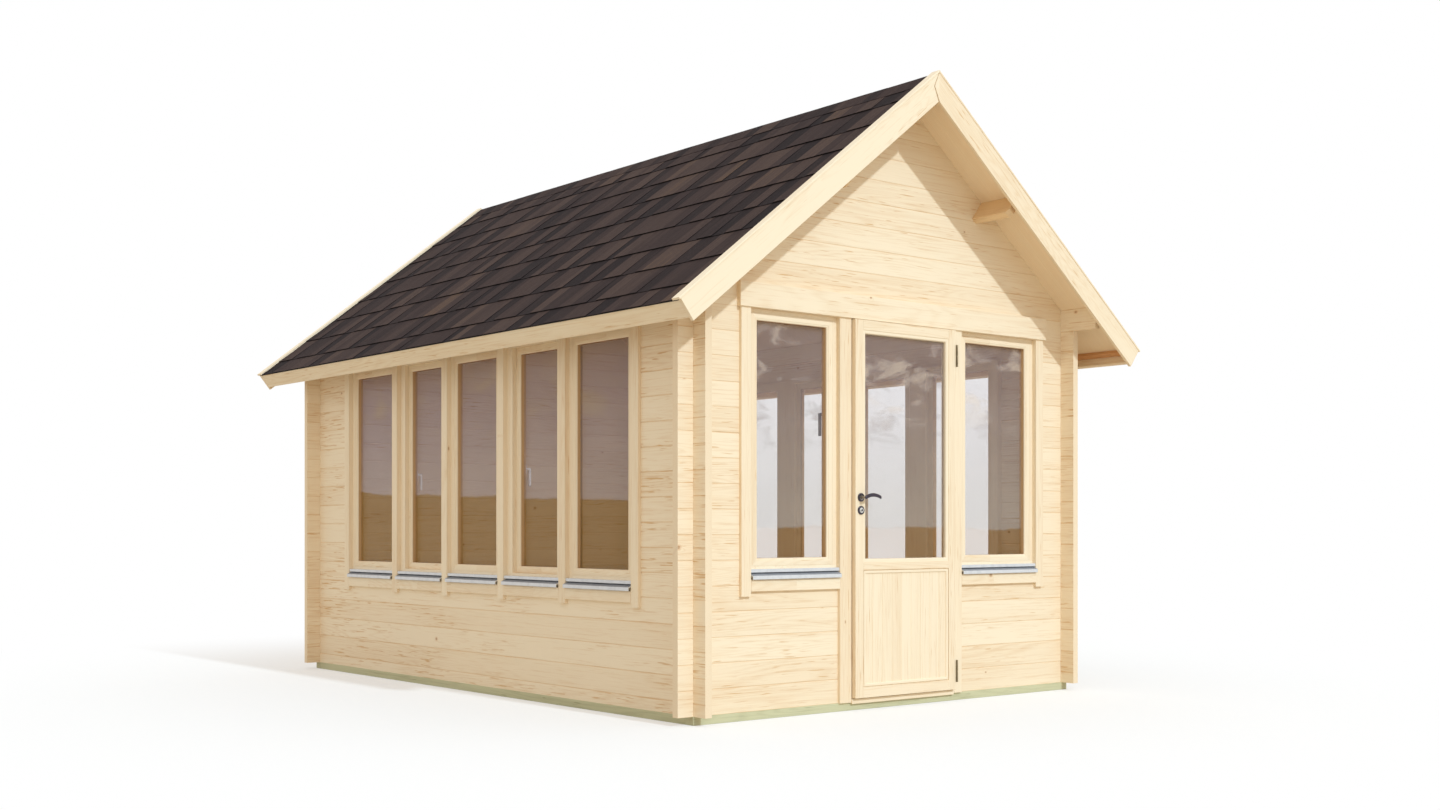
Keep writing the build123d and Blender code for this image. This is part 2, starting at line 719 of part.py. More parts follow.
# Hinges: the lower knuckles and pins on the frame's side, the upper knuckles on the leaf
hinge_x = door_bay[1] - leaf_gap / 2
hinge_out = leaf_face + hinge_radius + hinge_play
with BuildPart() as frame_hinges:
    for base in hinge_levels:
        knuckle_top = base + hinge_length / 2 - hinge_play / 2
        board(front_plane, (door_bay[1] - hinge_flap, door_bay[1]), (base, knuckle_top), (0, hinge_out))
        with BuildSketch(Plane.XY.offset(base)):
            with Locations((hinge_x, front_face - hinge_out)):
                Circle(hinge_radius)
        extrude(amount=knuckle_top - base)
        with BuildSketch(Plane.XY.offset(base)):
            with Locations((hinge_x, front_face - hinge_out)):
                Circle(hinge_pin_radius)
        extrude(amount=hinge_length)
frame_hinges.part.label = "frame_hinges"
export_step(frame_hinges.part, "parts/frame_hinges.step")

with BuildPart() as leaf_hinges:
    for base in hinge_levels:
        knuckle_base = base + hinge_length / 2 + hinge_play / 2
        flap_levels = (knuckle_base, base + hinge_length)
        board(front_plane, (leaf_span[1], leaf_span[1] + hinge_flap), flap_levels, (leaf_standoff, hinge_out))
        with BuildSketch(Plane.XY.offset(knuckle_base)):
            with Locations((hinge_x, front_face - hinge_out)):
                Circle(hinge_radius)
        extrude(amount=base + hinge_length - knuckle_base)
        with BuildSketch(Plane.XY.offset(knuckle_base)):
            with Locations((hinge_x, front_face - hinge_out)):
                Circle(hinge_pin_radius + hinge_pin_play)
        extrude(amount=base + hinge_length - knuckle_base, mode=Mode.SUBTRACT)
leaf_hinges.part.label = "leaf_hinges"
export_step(leaf_hinges.part, "parts/leaf_hinges.step")

# Purlins: at the ridge and half-way down each slope, with bevelled ends under the overhangs
with BuildPart() as purlins:
    along_building(ridge_purlin_outline(), plate_y)
    for side in (-1, 1):
        along_building(side_purlin_outline(side), plate_y)
    for ends in (purlins.edges().group_by(Axis.Y)[0], purlins.edges().group_by(Axis.Y)[-1]):
        middle_edge = ends.filter_by(Axis.X).sort_by(Axis.Z)[0]
        left_edge = ends.filter_by(lambda edge: edge.center().X < -purlin_depth).sort_by(Axis.Z)[0]
        right_edge = ends.filter_by(lambda edge: edge.center().X > purlin_depth).sort_by(Axis.Z)[0]
        chamfer([middle_edge, left_edge, right_edge], purlin_bevel)
purlins.part.label = "purlins"
export_step(purlins.part, "parts/purlins.step")

# Roof: boards, shingles and a ridge strip between the barge boards of the two gables
shingle_top = roof_board + shingle_layer
for side, hand in ((-1, "left"), (1, "right")):
    with BuildPart() as roof_boards:
        along_building(slope_layer((0.0, roof_board), slope_length - fascia_board, side), deck_y)
    roof_boards.part.label = f"roof_boards_{hand}"
    export_step(roof_boards.part, f"parts/roof_boards_{hand}.step")

    with BuildPart() as shingles:
        along_building(slope_layer((roof_board, shingle_top), slope_length + shingle_overhang, side), deck_y)
    shingles.part.label = f"shingles_{hand}"
    export_step(shingles.part, f"parts/shingles_{hand}.step")

cap_front_y = (barge_front_y[0] - cap_lip, barge_front_y[0] - cap_lip + cap_width)
cap_back_y = (barge_back_y[1] + cap_lip - cap_width, barge_back_y[1] + cap_lip)
with BuildPart() as ridge_strip:
    strip_top = shingle_top + ridge_strip_thickness
    for side in (-1, 1):
        along_building(slope_layer((shingle_top, strip_top), ridge_strip_width, side), (cap_front_y[1], cap_back_y[0]))
ridge_strip.part.label = "ridge_strip"
export_step(ridge_strip.part, "parts/ridge_strip.step")

with BuildPart() as fascia_boards:
    fascia_lifts = (roof_board - fascia_depth, roof_board)
    for side in (-1, 1):
        along_building(slope_box((slope_length - fascia_board, slope_length), fascia_lifts, side), deck_y)
fascia_boards.part.label = "fascia_boards"
export_step(fascia_boards.part, "parts/fascia_boards.step")

with BuildPart() as eave_battens:
    batten_run = slope_length - fascia_board
    for side in (-1, 1):
        along_building(slope_box((batten_run - batten_width, batten_run), (-batten_depth, 0.0), side), deck_y)
eave_battens.part.label = "eave_battens"
export_step(eave_battens.part, "parts/eave_battens.step")

# Barge boards: seen from outside, the joint at the ridge has its kink on the left
barge_low = shingle_top - barge_depth
kink_level = (ridge_point(barge_low)[1] + ridge_point(shingle_top)[1]) / 2
for end, y_span, kink_x in (("front", barge_front_y, -barge_kink), ("back", barge_back_y, barge_kink)):
    for side, hand in ((-1, "left"), (1, "right")):
        with BuildPart() as barge:
            barge_outline = slope_layer((barge_low, shingle_top), slope_length, side)
            along_building(barge_outline + [(kink_x, kink_level)], y_span)
        barge.part.label = f"{end}_barge_{hand}"
        export_step(barge.part, f"parts/{end}_barge_{hand}.step")

for end, y_span in (("front", cap_front_y), ("back", cap_back_y)):
    with BuildPart() as caps:
        for side in (-1, 1):
            along_building(slope_layer((shingle_top, shingle_top + cap_thickness), slope_length + cap_lip, side), y_span)
        block((-cap_joint, cap_joint), y_span, (soffit_apex, soffit_apex + barge_depth), Mode.SUBTRACT)
    caps.part.label = f"{end}_caps"
    export_step(caps.part, f"parts/{end}_caps.step")
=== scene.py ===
"""A garden room of crossed spruce logs under a steep shingled roof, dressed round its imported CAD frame.

X runs along the front wall to the right, Y runs from the front to the back, and Z is up. Lengths are metres.
Each sub-assembly is a class: its fields are sizes, and its methods make meshes and dress them.
"""

import logging
import math
from dataclasses import dataclass, replace
from enum import Enum
from typing import Any, Iterable, NamedTuple, Protocol, Sequence

import bpy
import numpy as np
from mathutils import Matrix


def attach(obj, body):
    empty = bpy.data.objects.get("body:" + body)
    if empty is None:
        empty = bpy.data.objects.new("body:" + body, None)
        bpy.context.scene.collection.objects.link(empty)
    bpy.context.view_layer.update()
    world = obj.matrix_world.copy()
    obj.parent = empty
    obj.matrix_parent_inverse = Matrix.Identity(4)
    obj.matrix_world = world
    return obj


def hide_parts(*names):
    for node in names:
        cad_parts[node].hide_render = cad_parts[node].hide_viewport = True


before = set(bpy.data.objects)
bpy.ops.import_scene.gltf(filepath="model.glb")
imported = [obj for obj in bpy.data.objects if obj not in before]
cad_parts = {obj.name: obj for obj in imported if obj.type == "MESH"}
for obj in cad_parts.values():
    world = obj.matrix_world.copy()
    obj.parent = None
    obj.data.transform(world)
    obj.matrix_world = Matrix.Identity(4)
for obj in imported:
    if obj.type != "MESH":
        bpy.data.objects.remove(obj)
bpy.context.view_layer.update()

log = logging.getLogger("garden_room")

Colour = tuple[float, float, float]
Settings = dict[str | int, Any]

# The frame's main planes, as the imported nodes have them
FRONT_FACE = -2.190
HALF_WIDTH = 1.500
PITCH = math.radians(38.0)
SOFFIT_APEX = 3.532
LOG_HEIGHT = 0.134
FRONT_JOINT = 0.179
SIDE_JOINT = 0.112


def srgb(red: int, green: int, blue: int) -> Colour:
    """Turn a colour as it is seen on screen, 0 to 255, into the linear values that a shader takes.

    Args:
        red: Its red.
        green: Its green.
        blue: Its blue.

    Returns:
        The linear colour.
    """
    seen = np.array([red, green, blue]) / 255.0
    linear = np.where(seen <= 0.04045, seen / 12.92, ((seen + 0.055) / 1.055) ** 2.4)
    return tuple(float(value) for value in linear)


# ---------------------------------------------------------------- shader graphs


class Wire:
    """The output socket of a node. Arithmetic on it adds Math nodes."""

    def __init__(self, graph: "Graph", socket: bpy.types.NodeSocket) -> None:
        """Keep the graph that the socket is in."""
        self.graph, self.socket = graph, socket

    def math(self, operation: str, *others: "Wire | float", clamp: bool = False) -> "Wire":
        """Add a Math node that takes this socket first, and then the other values or links."""
        return self.graph.maths(operation, self, *others, clamp=clamp)

    def __add__(self, other: "Wire | float") -> "Wire":
        """Sum."""
        return self.math("ADD", other)

    __radd__ = __add__

    def __sub__(self, other: "Wire | float") -> "Wire":
        """Difference."""
        return self.math("SUBTRACT", other)

    def __rsub__(self, other: float) -> "Wire":
        """Difference from a number."""
        return self.graph.maths("SUBTRACT", other, self)

    def __mul__(self, other: "Wire | float") -> "Wire":
        """Product."""
        return self.math("MULTIPLY", other)

    __rmul__ = __mul__

    def __truediv__(self, other: "Wire | float") -> "Wire":
        """Quotient."""
        return self.math("DIVIDE", other)


class Graph:
    """The node tree of a material or a world, built by method calls."""

    def __init__(self, owner: bpy.types.Material | bpy.types.World) -> None:
        """Start an empty tree in its owner."""
        self.owner = owner
        self.owner.use_nodes = True
        self.tree = self.owner.node_tree
        self.tree.nodes.clear()

    @classmethod
    def of_material(cls, name: str) -> "Graph":
        """Start the tree of a new material."""
        return cls(bpy.data.materials.new(name))

    def node(self, kind: str, settings: Settings | None = None, values: Settings | None = None) -> bpy.types.Node:
        """Add a node of any kind.

        Args:
            kind: The node's type.
            settings: Its properties, set first. "stops" gives a colour ramp's positions and colours.
            values: Values or links for its input sockets, by name or index.

        Returns:
            The new node.
        """
        made = self.tree.nodes.new(kind)
        for name, value in (settings or {}).items():
            if name == "stops":
                self.set_stops(made.color_ramp, value)
            else:
                setattr(made, name, value)
        for name, value in (values or {}).items():
            if isinstance(value, Wire):
                self.tree.links.new(value.socket, made.inputs[name])
            else:
                made.inputs[name].default_value = value
        return made

    def set_stops(self, ramp: bpy.types.ColorRamp, stops: Sequence[tuple[float, Colour]]) -> None:
        """Give a ramp its stops, each a position and a colour."""
        while len(ramp.elements) < len(stops):
            ramp.elements.new(1.0)
        for element, (position, colour) in zip(ramp.elements, stops):
            element.position = position
            element.color = (*colour, 1.0)

    def wire(self, made: bpy.types.Node, output: str | int = 0) -> Wire:
        """Return one output of a node."""
        return Wire(self, made.outputs[output])

    def maths(self, operation: str, *terms: Wire | float, clamp: bool = False) -> Wire:
        """Add a Math node on values or links, held between 0 and 1 if asked."""
        settings = {"operation": operation, "use_clamp": clamp}
        return self.wire(self.node("ShaderNodeMath", settings, dict(enumerate(terms))))

    def split(self, place: Wire) -> list[Wire]:
        """Return a vector's x, y and z."""
        parts = self.node("ShaderNodeSeparateXYZ", values={0: place})
        return [self.wire(parts, axis) for axis in range(3)]

    def axes(self, output: str = "Object") -> list[Wire]:
        """Return x, y and z of the point on the object, or with "Normal" of the way that its surface faces."""
        return self.split(self.wire(self.node("ShaderNodeTexCoord"), output))

    def point(self, x: Wire | float, y: Wire | float, z: Wire | float = 0.0) -> Wire:
        """Join three numbers into a place in a pattern."""
        return self.wire(self.node("ShaderNodeCombineXYZ", values={0: x, 1: y, 2: z}))

    def noise(
        self, place: Sequence[Wire | float], detail: float = 2.0, rough: float = 0.5, pulled: float = 0.0
    ) -> Wire:
        """Return a cloud pattern from 0 to 1 whose lumps are about one unit apart.

        Args:
            place: Where in the pattern the point lies.
            detail: How many finer layers it has.
            rough: How strong the finer layers are.
            pulled: How far the pattern is pulled about.

        Returns:
            The pattern's value.
        """
        spot = self.point(*place)
        values = {"Vector": spot, "Scale": 1.0, "Detail": detail, "Roughness": rough, "Distortion": pulled}
        return self.wire(self.node("ShaderNodeTexNoise", {"noise_dimensions": "3D"}, values))

    def chance(self, number: Wire) -> Wire:
        """Return a fixed random number from 0 to 1 for each whole number."""
        return self.wire(self.node("ShaderNodeTexWhiteNoise", {"noise_dimensions": "1D"}, {"W": number}))

    def seen(self) -> Wire:
        """Return 1 for what the eye meets, straight or in metal or glass, and 0 for what only lights the object.

        Returns:
            The share, 0 or 1.
        """
        path = self.node("ShaderNodeLightPath")
        kinds = ("Is Camera Ray", "Is Glossy Ray", "Is Transmission Ray")
        straight, glossy, through = (self.wire(path, kind) for kind in kinds)
        return straight.math("MAXIMUM", glossy.math("MAXIMUM", through))

    def rise(self, value: Wire, start: float, end: float) -> Wire:
        """Return 0 below the start and 1 above the end, with an even curve between; the two may be swapped.

        Args:
            value: What is measured.
            start: Where it starts to rise.
            end: Where it is 1.

        Returns:
            The share, 0 to 1.
        """
        if start > end:
            return 1.0 - self.rise(value, end, start)
        settings = {"interpolation_type": "SMOOTHSTEP"}
        return self.wire(self.node("ShaderNodeMapRange", settings, {0: value, 1: start, 2: end}))

    def blend(self, share: Wire | float, first: Wire | Colour, second: Wire | Colour, mode: str = "MIX") -> Wire:
        """Blend two colours in one of the Mix node's ways; the share of the second is 0 to 1.

        Args:
            share: How much of the second shows.
            first: The first colour or link.
            second: The second one.
            mode: The Mix node's blend type.

        Returns:
            The blended colour.
        """
        colours = [value if isinstance(value, Wire) else (*value, 1.0) for value in (first, second)]
        settings = {"data_type": "RGBA", "blend_type": mode, "clamp_factor": True}
        return self.wire(self.node("ShaderNodeMix", settings, {0: share, 6: colours[0], 7: colours[1]}), 2)

    def bump(self, height: Wire, depth: float, strength: float) -> Wire:
        """Return a normal that shows a height from 0 to 1 as a relief of a depth in metres."""
        values = {"Height": height, "Distance": depth, "Strength": strength}
        return self.wire(self.node("ShaderNodeBump", values=values))

    def surface(self, values: Settings) -> bpy.types.Material:
        """Finish the material with a Principled surface of these values or links."""
        return self.close(self.wire(self.node("ShaderNodeBsdfPrincipled", values=values)))

    def close(self, shader: Wire) -> bpy.types.Material:
        """Finish the material with a shader."""
        self.node("ShaderNodeOutputMaterial", values={"Surface": shader})
        return self.owner


def scaled(axes: Sequence[Wire], *scales: float) -> list[Wire]:
    """Multiply each axis by its own scale, or all three by the one that is given."""
    return [axis * scale for axis, scale in zip(axes, scales * 3)]


# ---------------------------------------------------------------- finishes


class Finish(Protocol):
    """What every finish has: its material's name, and a method that makes it."""

    name: str

    def build(self) -> bpy.types.Material:
        """Make the material."""


MATERIALS: dict[str, bpy.types.Material] = {}


def material(finish: Finish) -> bpy.types.Material:
    """Return a finish's material, made the first time that it is asked for."""
    if finish.name not in MATERIALS:
        MATERIALS[finish.name] = finish.build()
    return MATERIALS[finish.name]


class Grain(Enum):
    """The way that a board's fibres run."""

    ALONG_X = "x"
    ALONG_Y = "y"
    UPRIGHT = "z"
    DOWN_SLOPE = "slope"


@dataclass(frozen=True)
class Courses:
    """Boards or logs that follow each other along an axis, each with its own grain.

    Attributes:
        axis: Index of the axis: 0 for x, 1 for y, 2 for z.
        start: Where a board starts on it.
        width: The boards' width.
        joint: Half the height of the joint between two, darkened there as painted shade, or 0.
    """

    axis: int
    start: float
    width: float
    joint: float = 0.0


@dataclass(frozen=True)
class SpruceFinish:
    """Planed softwood: growth rings, fibres, soft patches, a few knots, and rings on end faces.

    Attributes:
        name: The material's name.
        grain: The way that the fibres run.
        courses: The boards that it is laid in, if they change grain from one to the next.
        rails: Levels below and above which the fibres run level instead of upright.
        pale: Colour of the early wood.
        warm: Colour of the rings and fibres.
        knot: Colour of the knots.
        knots: Share of the knot places that hold one.
        flecks: Level of the pattern above which a brown fleck shows.
        contrast: Strength of the rings.
        seed: Shifts the whole pattern.
    """

    name: str
    grain: Grain
    courses: Courses | None = None
    rails: tuple[float, float] | None = None
    pale: Colour = srgb(250, 233, 205)
    warm: Colour = srgb(222, 184, 136)
    knot: Colour = srgb(160, 112, 72)
    knots: float = 0.10
    flecks: float = 0.66
    contrast: float = 0.5
    seed: float = 0.0

    def directions(self, graph: Graph) -> tuple[Wire, Wire, Wire]:
        """Return the point's place along the fibres, across them and through the board, in metres.

        Args:
            graph: The material's tree.

        Returns:
            The three places.
        """
        x, y, z = graph.axes()
        if self.grain is Grain.ALONG_X:
            return x, z, y
        if self.grain is Grain.ALONG_Y:
            return y, z, x
        if self.grain is Grain.DOWN_SLOPE:
            reach = x.math("ABSOLUTE")
            along = reach * math.cos(PITCH) - z * math.sin(PITCH)
            across = reach * math.sin(PITCH) + z * math.cos(PITCH)
            return along, across, y
        across, through = x + y, x - y
        if self.rails is None:
            return z, across, through
        turned = z.math("LESS_THAN", self.rails[0]) + z.math("GREATER_THAN", self.rails[1])
        return z + turned * (across - z), across + turned * (z - across), through

    def end_face(self, graph: Graph) -> Wire:
        """Return 1 where the surface cuts the fibres, and 0 along them.

        Args:
            graph: The material's tree.

        Returns:
            The mark.
        """
        x, y, z = graph.axes("Normal")
        if self.grain is Grain.DOWN_SLOPE:
            toward = x.math("ABSOLUTE") * math.cos(PITCH) - z * math.sin(PITCH)
        else:
            toward = {Grain.ALONG_X: x, Grain.ALONG_Y: y, Grain.UPRIGHT: z}[self.grain]
        return toward.math("ABSOLUTE").math("GREATER_THAN", 0.8)

    def knot_marks(self, graph: Graph, along: Wire, over: Wire, shift: Wire | float) -> list[Wire]:
        """Return how strongly the nearest knot's core, its rim and the fibres bent round it show.

        The surface is divided into the cells of random points, and a share of the points are knots. A knot's
        size grows with its point's random number.

        Args:
            graph: The material's tree.
            along: The point's place along the fibres.
            over: Its place across them.
            shift: How far the board's own luck moves the pattern.

        Returns:
            The three strengths, 0 to 1.
        """
        rows, width = 2.3, 0.16
        place = graph.point(along * rows + shift, over / width + shift)
        cells = graph.node("ShaderNodeTexVoronoi", {"voronoi_dimensions": "2D"}, {"Vector": place, "Scale": 1.0})
        found, centre = graph.split(graph.wire(cells, "Position")), graph.split(place)
        run, step = (found[0] - centre[0]) / rows, (found[1] - centre[1]) * width
        chosen = graph.wire(graph.node("ShaderNodeSeparateColor", values={0: graph.wire(cells, "Color")}))
        present = chosen.math("LESS_THAN", self.knots)
        size = 0.004 + chosen * (0.006 / max(self.knots, 0.01))
        near = (run * run * 0.6 + step * step).math("SQRT") / size
        return [graph.rise(near, far, close) * present for far, close in ((1.15, 0.75), (2.4, 1.0), (5.0, 0.0))]

    def build(self) -> bpy.types.Material:
        """Make the material.

        The rings are a sine of a cloud pattern stretched along the fibres, so its contours close into long
        arches. Each board shifts the pattern by its own random number. A layer is given by its scales along and
        across the fibres, the signs of the two shifts, and the noise's own settings.

        Returns:
            The material.
        """
        graph = Graph.of_material(self.name)
        along, across, through = self.directions(graph)
        luck: Wire | float = self.seed % 1.0
        joint: Wire | float = 0.0
        local: Wire | float = across
        if self.courses:
            laid = self.courses
            steps = (graph.axes()[laid.axis] - laid.start) / laid.width
            luck = graph.chance(steps.math("FLOOR") + self.seed)
            part = steps.math("FRACT")
            # Painted shade: a darker line along each joint between courses.
            if laid.joint:
                gap = part.math("PINGPONG", 0.5) * laid.width
                joint = graph.rise(gap, laid.joint * 1.6, laid.joint * 0.2)
            local = (part - luck * 0.6 - 0.2) * laid.width
        shift = luck * 41.0 + self.seed
        layers = (
            (0.9, 7.0, 1.0, 1.0, 1.0, 0.5, 0.0),
            (0.55, 9.0, 1.0, -1.0, 1.2, 0.45, 0.25),
            (5.0, 330.0, 1.0, 0.0, 2.0, 0.6, 0.0),
            (2.6, 92.0, -1.0, 1.0, 3.0, 0.68, 0.0),
            (6.5, 105.0, 1.0, -1.0, 1.0, 0.5, 0.0),
        )
        broad, arches, fine, lines, marks = (
            graph.noise((along * run + shift * first, across * wide + shift * second, through * wide), *shape)
            for run, wide, first, second, *shape in layers
        )
        core, rim, bend = self.knot_marks(graph, along, across + through, shift)

        rings = ((arches * 17.0 + bend * 1.6 + local * 9.0) * math.tau).math("SINE") * 0.5 + 0.5
        rings = rings * rings * graph.rise(broad, 0.30, 0.62)
        drawn = graph.rise(lines, 0.50, 0.74)
        dashes = graph.rise(marks, self.flecks, self.flecks + 0.09) * graph.rise(broad, 0.40, 0.60)
        tone = (rings * 0.40 + drawn * 0.80 + dashes * 1.7) * self.contrast
        tone = tone + fine * 0.22 + broad * 0.26 + luck * 0.22 - 0.30 + joint * (0.16 + lines * 0.6)
        colour = graph.blend(tone.math("ADD", 0.0, clamp=True), self.pale, self.warm)
        colour = graph.blend(rim * 0.35, colour, self.warm, "MULTIPLY")
        colour = graph.blend(core * 0.55, colour, self.knot)

        radius = (local * local + through.math("PINGPONG", 0.05).math("POWER", 2.0)).math("SQRT")
        year = ((radius + fine * 0.0006) * (math.tau / 0.0032)).math("SINE") * 0.5 + 0.5
        cut = graph.blend(year * 0.30 + fine * 0.22, self.pale, self.warm)
        values = {
            "Base Color": graph.blend(self.end_face(graph) * 0.9, colour, cut),
            "Roughness": 0.56 + fine * 0.16 - core * 0.1,
            "Specular IOR Level": 0.32,
            "Normal": graph.bump(fine * 0.35 + rings * 0.4 + lines * 0.25 + core * 0.5, 0.0005, 0.7),
        }
        return graph.surface(values)


@dataclass(frozen=True)
class ShingleFinish:
    """Mineral-faced shingles: each tab has its own tone, with coarse granules and weather streaks.

    Attributes:
        name: The material's name.
        dark: Colour of the recessed layer.
        mid: Colour of most tabs.
        light: Colour of the palest tabs.
        tan: Colour of the few brown ones.
    """

    name: str
    dark: Colour = srgb(38, 31, 32)
    mid: Colour = srgb(62, 49, 47)
    light: Colour = srgb(83, 67, 61)
    tan: Colour = srgb(99, 77, 60)

    def build(self) -> bpy.types.Material:
        """Make the material, toned by the attribute that holds each tab's tone.

        Returns:
            The material.
        """
        graph = Graph.of_material(self.name)
        x, y, z = graph.axes()
        down = x.math("ABSOLUTE") * math.cos(PITCH) - z * math.sin(PITCH)
        tone = graph.wire(graph.node("ShaderNodeAttribute", {"attribute_name": "tone"}), "Fac")
        grit = graph.noise(scaled((x, y, z), 620.0), 1.0, 0.6)
        patch = graph.noise(scaled((x, y, z), 60.0), 3.0, 0.65)
        wash = graph.noise((down * 2.2, y * 62.0, 0.0), 3.0, 0.62)
        shade = tone + (patch - 0.5) * 0.32 + (grit - 0.5) * 0.42 + (wash - 0.5) * 0.85
        stops = [(0.0, self.dark), (0.45, self.mid), (0.84, self.light), (1.0, self.tan)]
        values = {
            "Base Color": graph.wire(graph.node("ShaderNodeValToRGB", {"stops": stops}, {0: shade})),
            "Roughness": 0.88 + grit * 0.1,
            "Specular IOR Level": 0.12,
            "Normal": graph.bump(grit * 0.7 + patch * 0.3, 0.0012, 0.8),
        }
        return graph.surface(values)


# Butt edges: the bare asphalt's own dark colour, made darker still as painted shade under each butt.
BUTT_EDGE_AND_SHADE_TONES = {"dark": srgb(20, 17, 18), "mid": srgb(28, 24, 25), "light": srgb(38, 32, 32), "tan": srgb(38, 32, 32)}


@dataclass(frozen=True)
class MetalFinish:
    """Sheet or cast metal with fine brush marks and soft stains.

    Attributes:
        name: The material's name.
        colour: Its colour.
        stain: Its colour where it is dull.
        metallic: 1 for bare metal, lower for paint.
        roughness: Its mean roughness.
        brush: Scale of the brush marks along x, y and z.
    """

    name: str
    colour: Colour
    stain: Colour
    metallic: float = 1.0
    roughness: float = 0.35
    brush: tuple[float, float, float] = (900.0, 900.0, 40.0)

    def build(self) -> bpy.types.Material:
        """Make the material.

        Returns:
            The material.
        """
        graph = Graph.of_material(self.name)
        axes = graph.axes()
        marks = graph.noise(scaled(axes, *self.brush), 2.0, 0.5)
        cloud = graph.noise(scaled(axes, 23.0), 3.0, 0.6)
        share = graph.rise(cloud, 0.35, 0.75) * 0.5 + marks * 0.25
        values = {
            "Base Color": graph.blend(share, self.colour, self.stain),
            "Metallic": self.metallic,
            "Roughness": self.roughness - 0.08 + marks * 0.10 + cloud * 0.08,
            "Normal": graph.bump(marks, 0.00008, 0.5),
        }
        return graph.surface(values)


@dataclass(frozen=True)
class GlassFinish:
    """Glass with a painted reflection over what lies behind it: cool sky and cloud above eye level, earth below.

    Attributes:
        name: The material's name.
        top: Colour of the painted sky reflection at the head of the pane.
        reflected_horizon: Its colour just above the painted horizon.
        reflected_earth: Colour of the painted ground reflection below the horizon.
        level: Height of the painted horizon, at which the sky turns into earth.
        reflection_covers: Share of each face that the painted reflection hides at the head, just above the
            horizon, and below it.
        wisp: Its colour in the streaks of cloud.
        streaks: Extra share that the streaks of cloud hide.
        lean: How much the painted reflection thickens and its horizon rises in each metre towards the back.
    """

    name: str
    top: Colour
    reflected_horizon: Colour
    reflected_earth: Colour
    level: float
    reflection_covers: tuple[float, float, float]
    wisp: Colour = srgb(244, 226, 206)
    streaks: float = 0.0
    lean: tuple[float, float] = (0.0, 0.0)

    def build(self) -> bpy.types.Material:
        """Make the material.

        Returns:
            The material.
        """
        graph = Graph.of_material(self.name)
        x, y, z = graph.axes()
        drift = graph.noise(scaled((x, y, z), 1.9, 1.9, 3.2), 4.0, 0.6)
        wisps = graph.noise((x * 3.1 - z, y * 3.1 - z, z * 6.5), 4.0, 0.62, 0.5)
        hills = graph.noise((x * 1.3, y * 1.3, 0.0), 3.0, 0.5) * 0.10
        crowns = graph.noise((x * 15.0, y * 15.0, 0.0), 2.0, 0.6) * 0.03
        tuft = graph.noise(scaled((x, y, z), 9.0, 9.0, 22.0), 3.0, 0.6)
        thicken, climb = self.lean
        # Painted reflection: sky with streaks of cloud above the level, earth with hills and tree crowns below it.
        below = graph.rise(z + hills + crowns - y * climb, self.level + 0.073, self.level + 0.057)
        depth = graph.rise(z, 2.10, self.level)
        cloud = graph.rise(wisps, 0.50, 0.68) * graph.rise(z, 1.50, 1.80)
        sky = graph.blend(depth, self.top, self.reflected_horizon)
        sky = graph.blend(graph.rise(drift, 0.75, 0.35) * 0.20, sky, tuple(value * 0.5 for value in self.top))
        sky = graph.blend(cloud * 0.75, sky, self.wisp)
        reflected_earth = graph.blend(tuft, tuple(value * 0.75 for value in self.reflected_earth), self.reflected_earth)
        head, brink, foot = self.reflection_covers
        cover = depth * (brink - head) + head
        cover = cover + below * (foot - cover) + cloud * self.streaks + (drift - 0.5) * 0.04
        values = {
            "Base Color": graph.blend(below, sky, reflected_earth),
            "Roughness": 0.02 + drift * 0.01,
            "Alpha": cover * (y * thicken + 1.0),
            "Specular IOR Level": 0.3,
            "IOR": 1.5,
        }
        return graph.surface(values)


# ---------------------------------------------------------------- surfaces


class Shell(NamedTuple):
    """Part of a piece: its points, its faces by number of corners, each face's finish, each point's tone."""

    points: np.ndarray
    faces: list[np.ndarray]
    finishes: list[np.ndarray]
    tones: np.ndarray

    def painted(self, shift: int) -> "Shell":
        """Return the shell with every face's finish moved on by a number."""
        return self._replace(finishes=[group + shift for group in self.finishes])


def skin(
    stations: np.ndarray,
    closed: bool = False,
    row_finish: Sequence[int] = (0,),
    column_finish: Sequence[int] = (0,),
    tones: np.ndarray | None = None,
) -> Shell:
    """Carry closed profiles along paths, and close the two ends unless the paths close on themselves.

    Point (n, r, k) is corner k of the profile at station r of body n. Each face joins corners k and k + 1 of
    stations r and r + 1. The faces are turned round where their solid's volume comes out negative.

    Args:
        stations: Points as (bodies, stations, corners, 3).
        closed: Whether the last station joins the first.
        row_finish: Finish of the faces after each station, or one for all.
        column_finish: What the side after each corner adds to the finish, or one for all.
        tones: Tone of each body.

    Returns:
        The shell.
    """
    bodies, rows, columns = stations.shape[:3]
    bands = rows if closed else rows - 1
    index = np.arange(bodies * rows * columns).reshape(bodies, rows, columns)
    near, far = index[:, :bands], np.roll(index, -1, axis=1)[:, :bands]
    quads = np.stack([near, np.roll(near, -1, 2), np.roll(far, -1, 2), far], -1)
    finish = np.zeros(quads.shape[:3], np.int32)
    finish += np.array(row_finish, np.int32)[:bands, None] + np.array(column_finish, np.int32)
    faces, finishes = [quads.reshape(-1, 4)], [finish.ravel()]
    if not closed:
        caps = np.concatenate([index[:, 0, ::-1], index[:, -1]])
        faces.append(caps)
        finishes.append(np.zeros(len(caps), np.int32))
    points = stations.reshape(-1, 3)
    if volume(points, faces) < 0:
        faces = [group[:, ::-1] for group in faces]
    tone = np.zeros(bodies) if tones is None else tones
    return Shell(points, faces, finishes, np.repeat(tone, rows * columns))


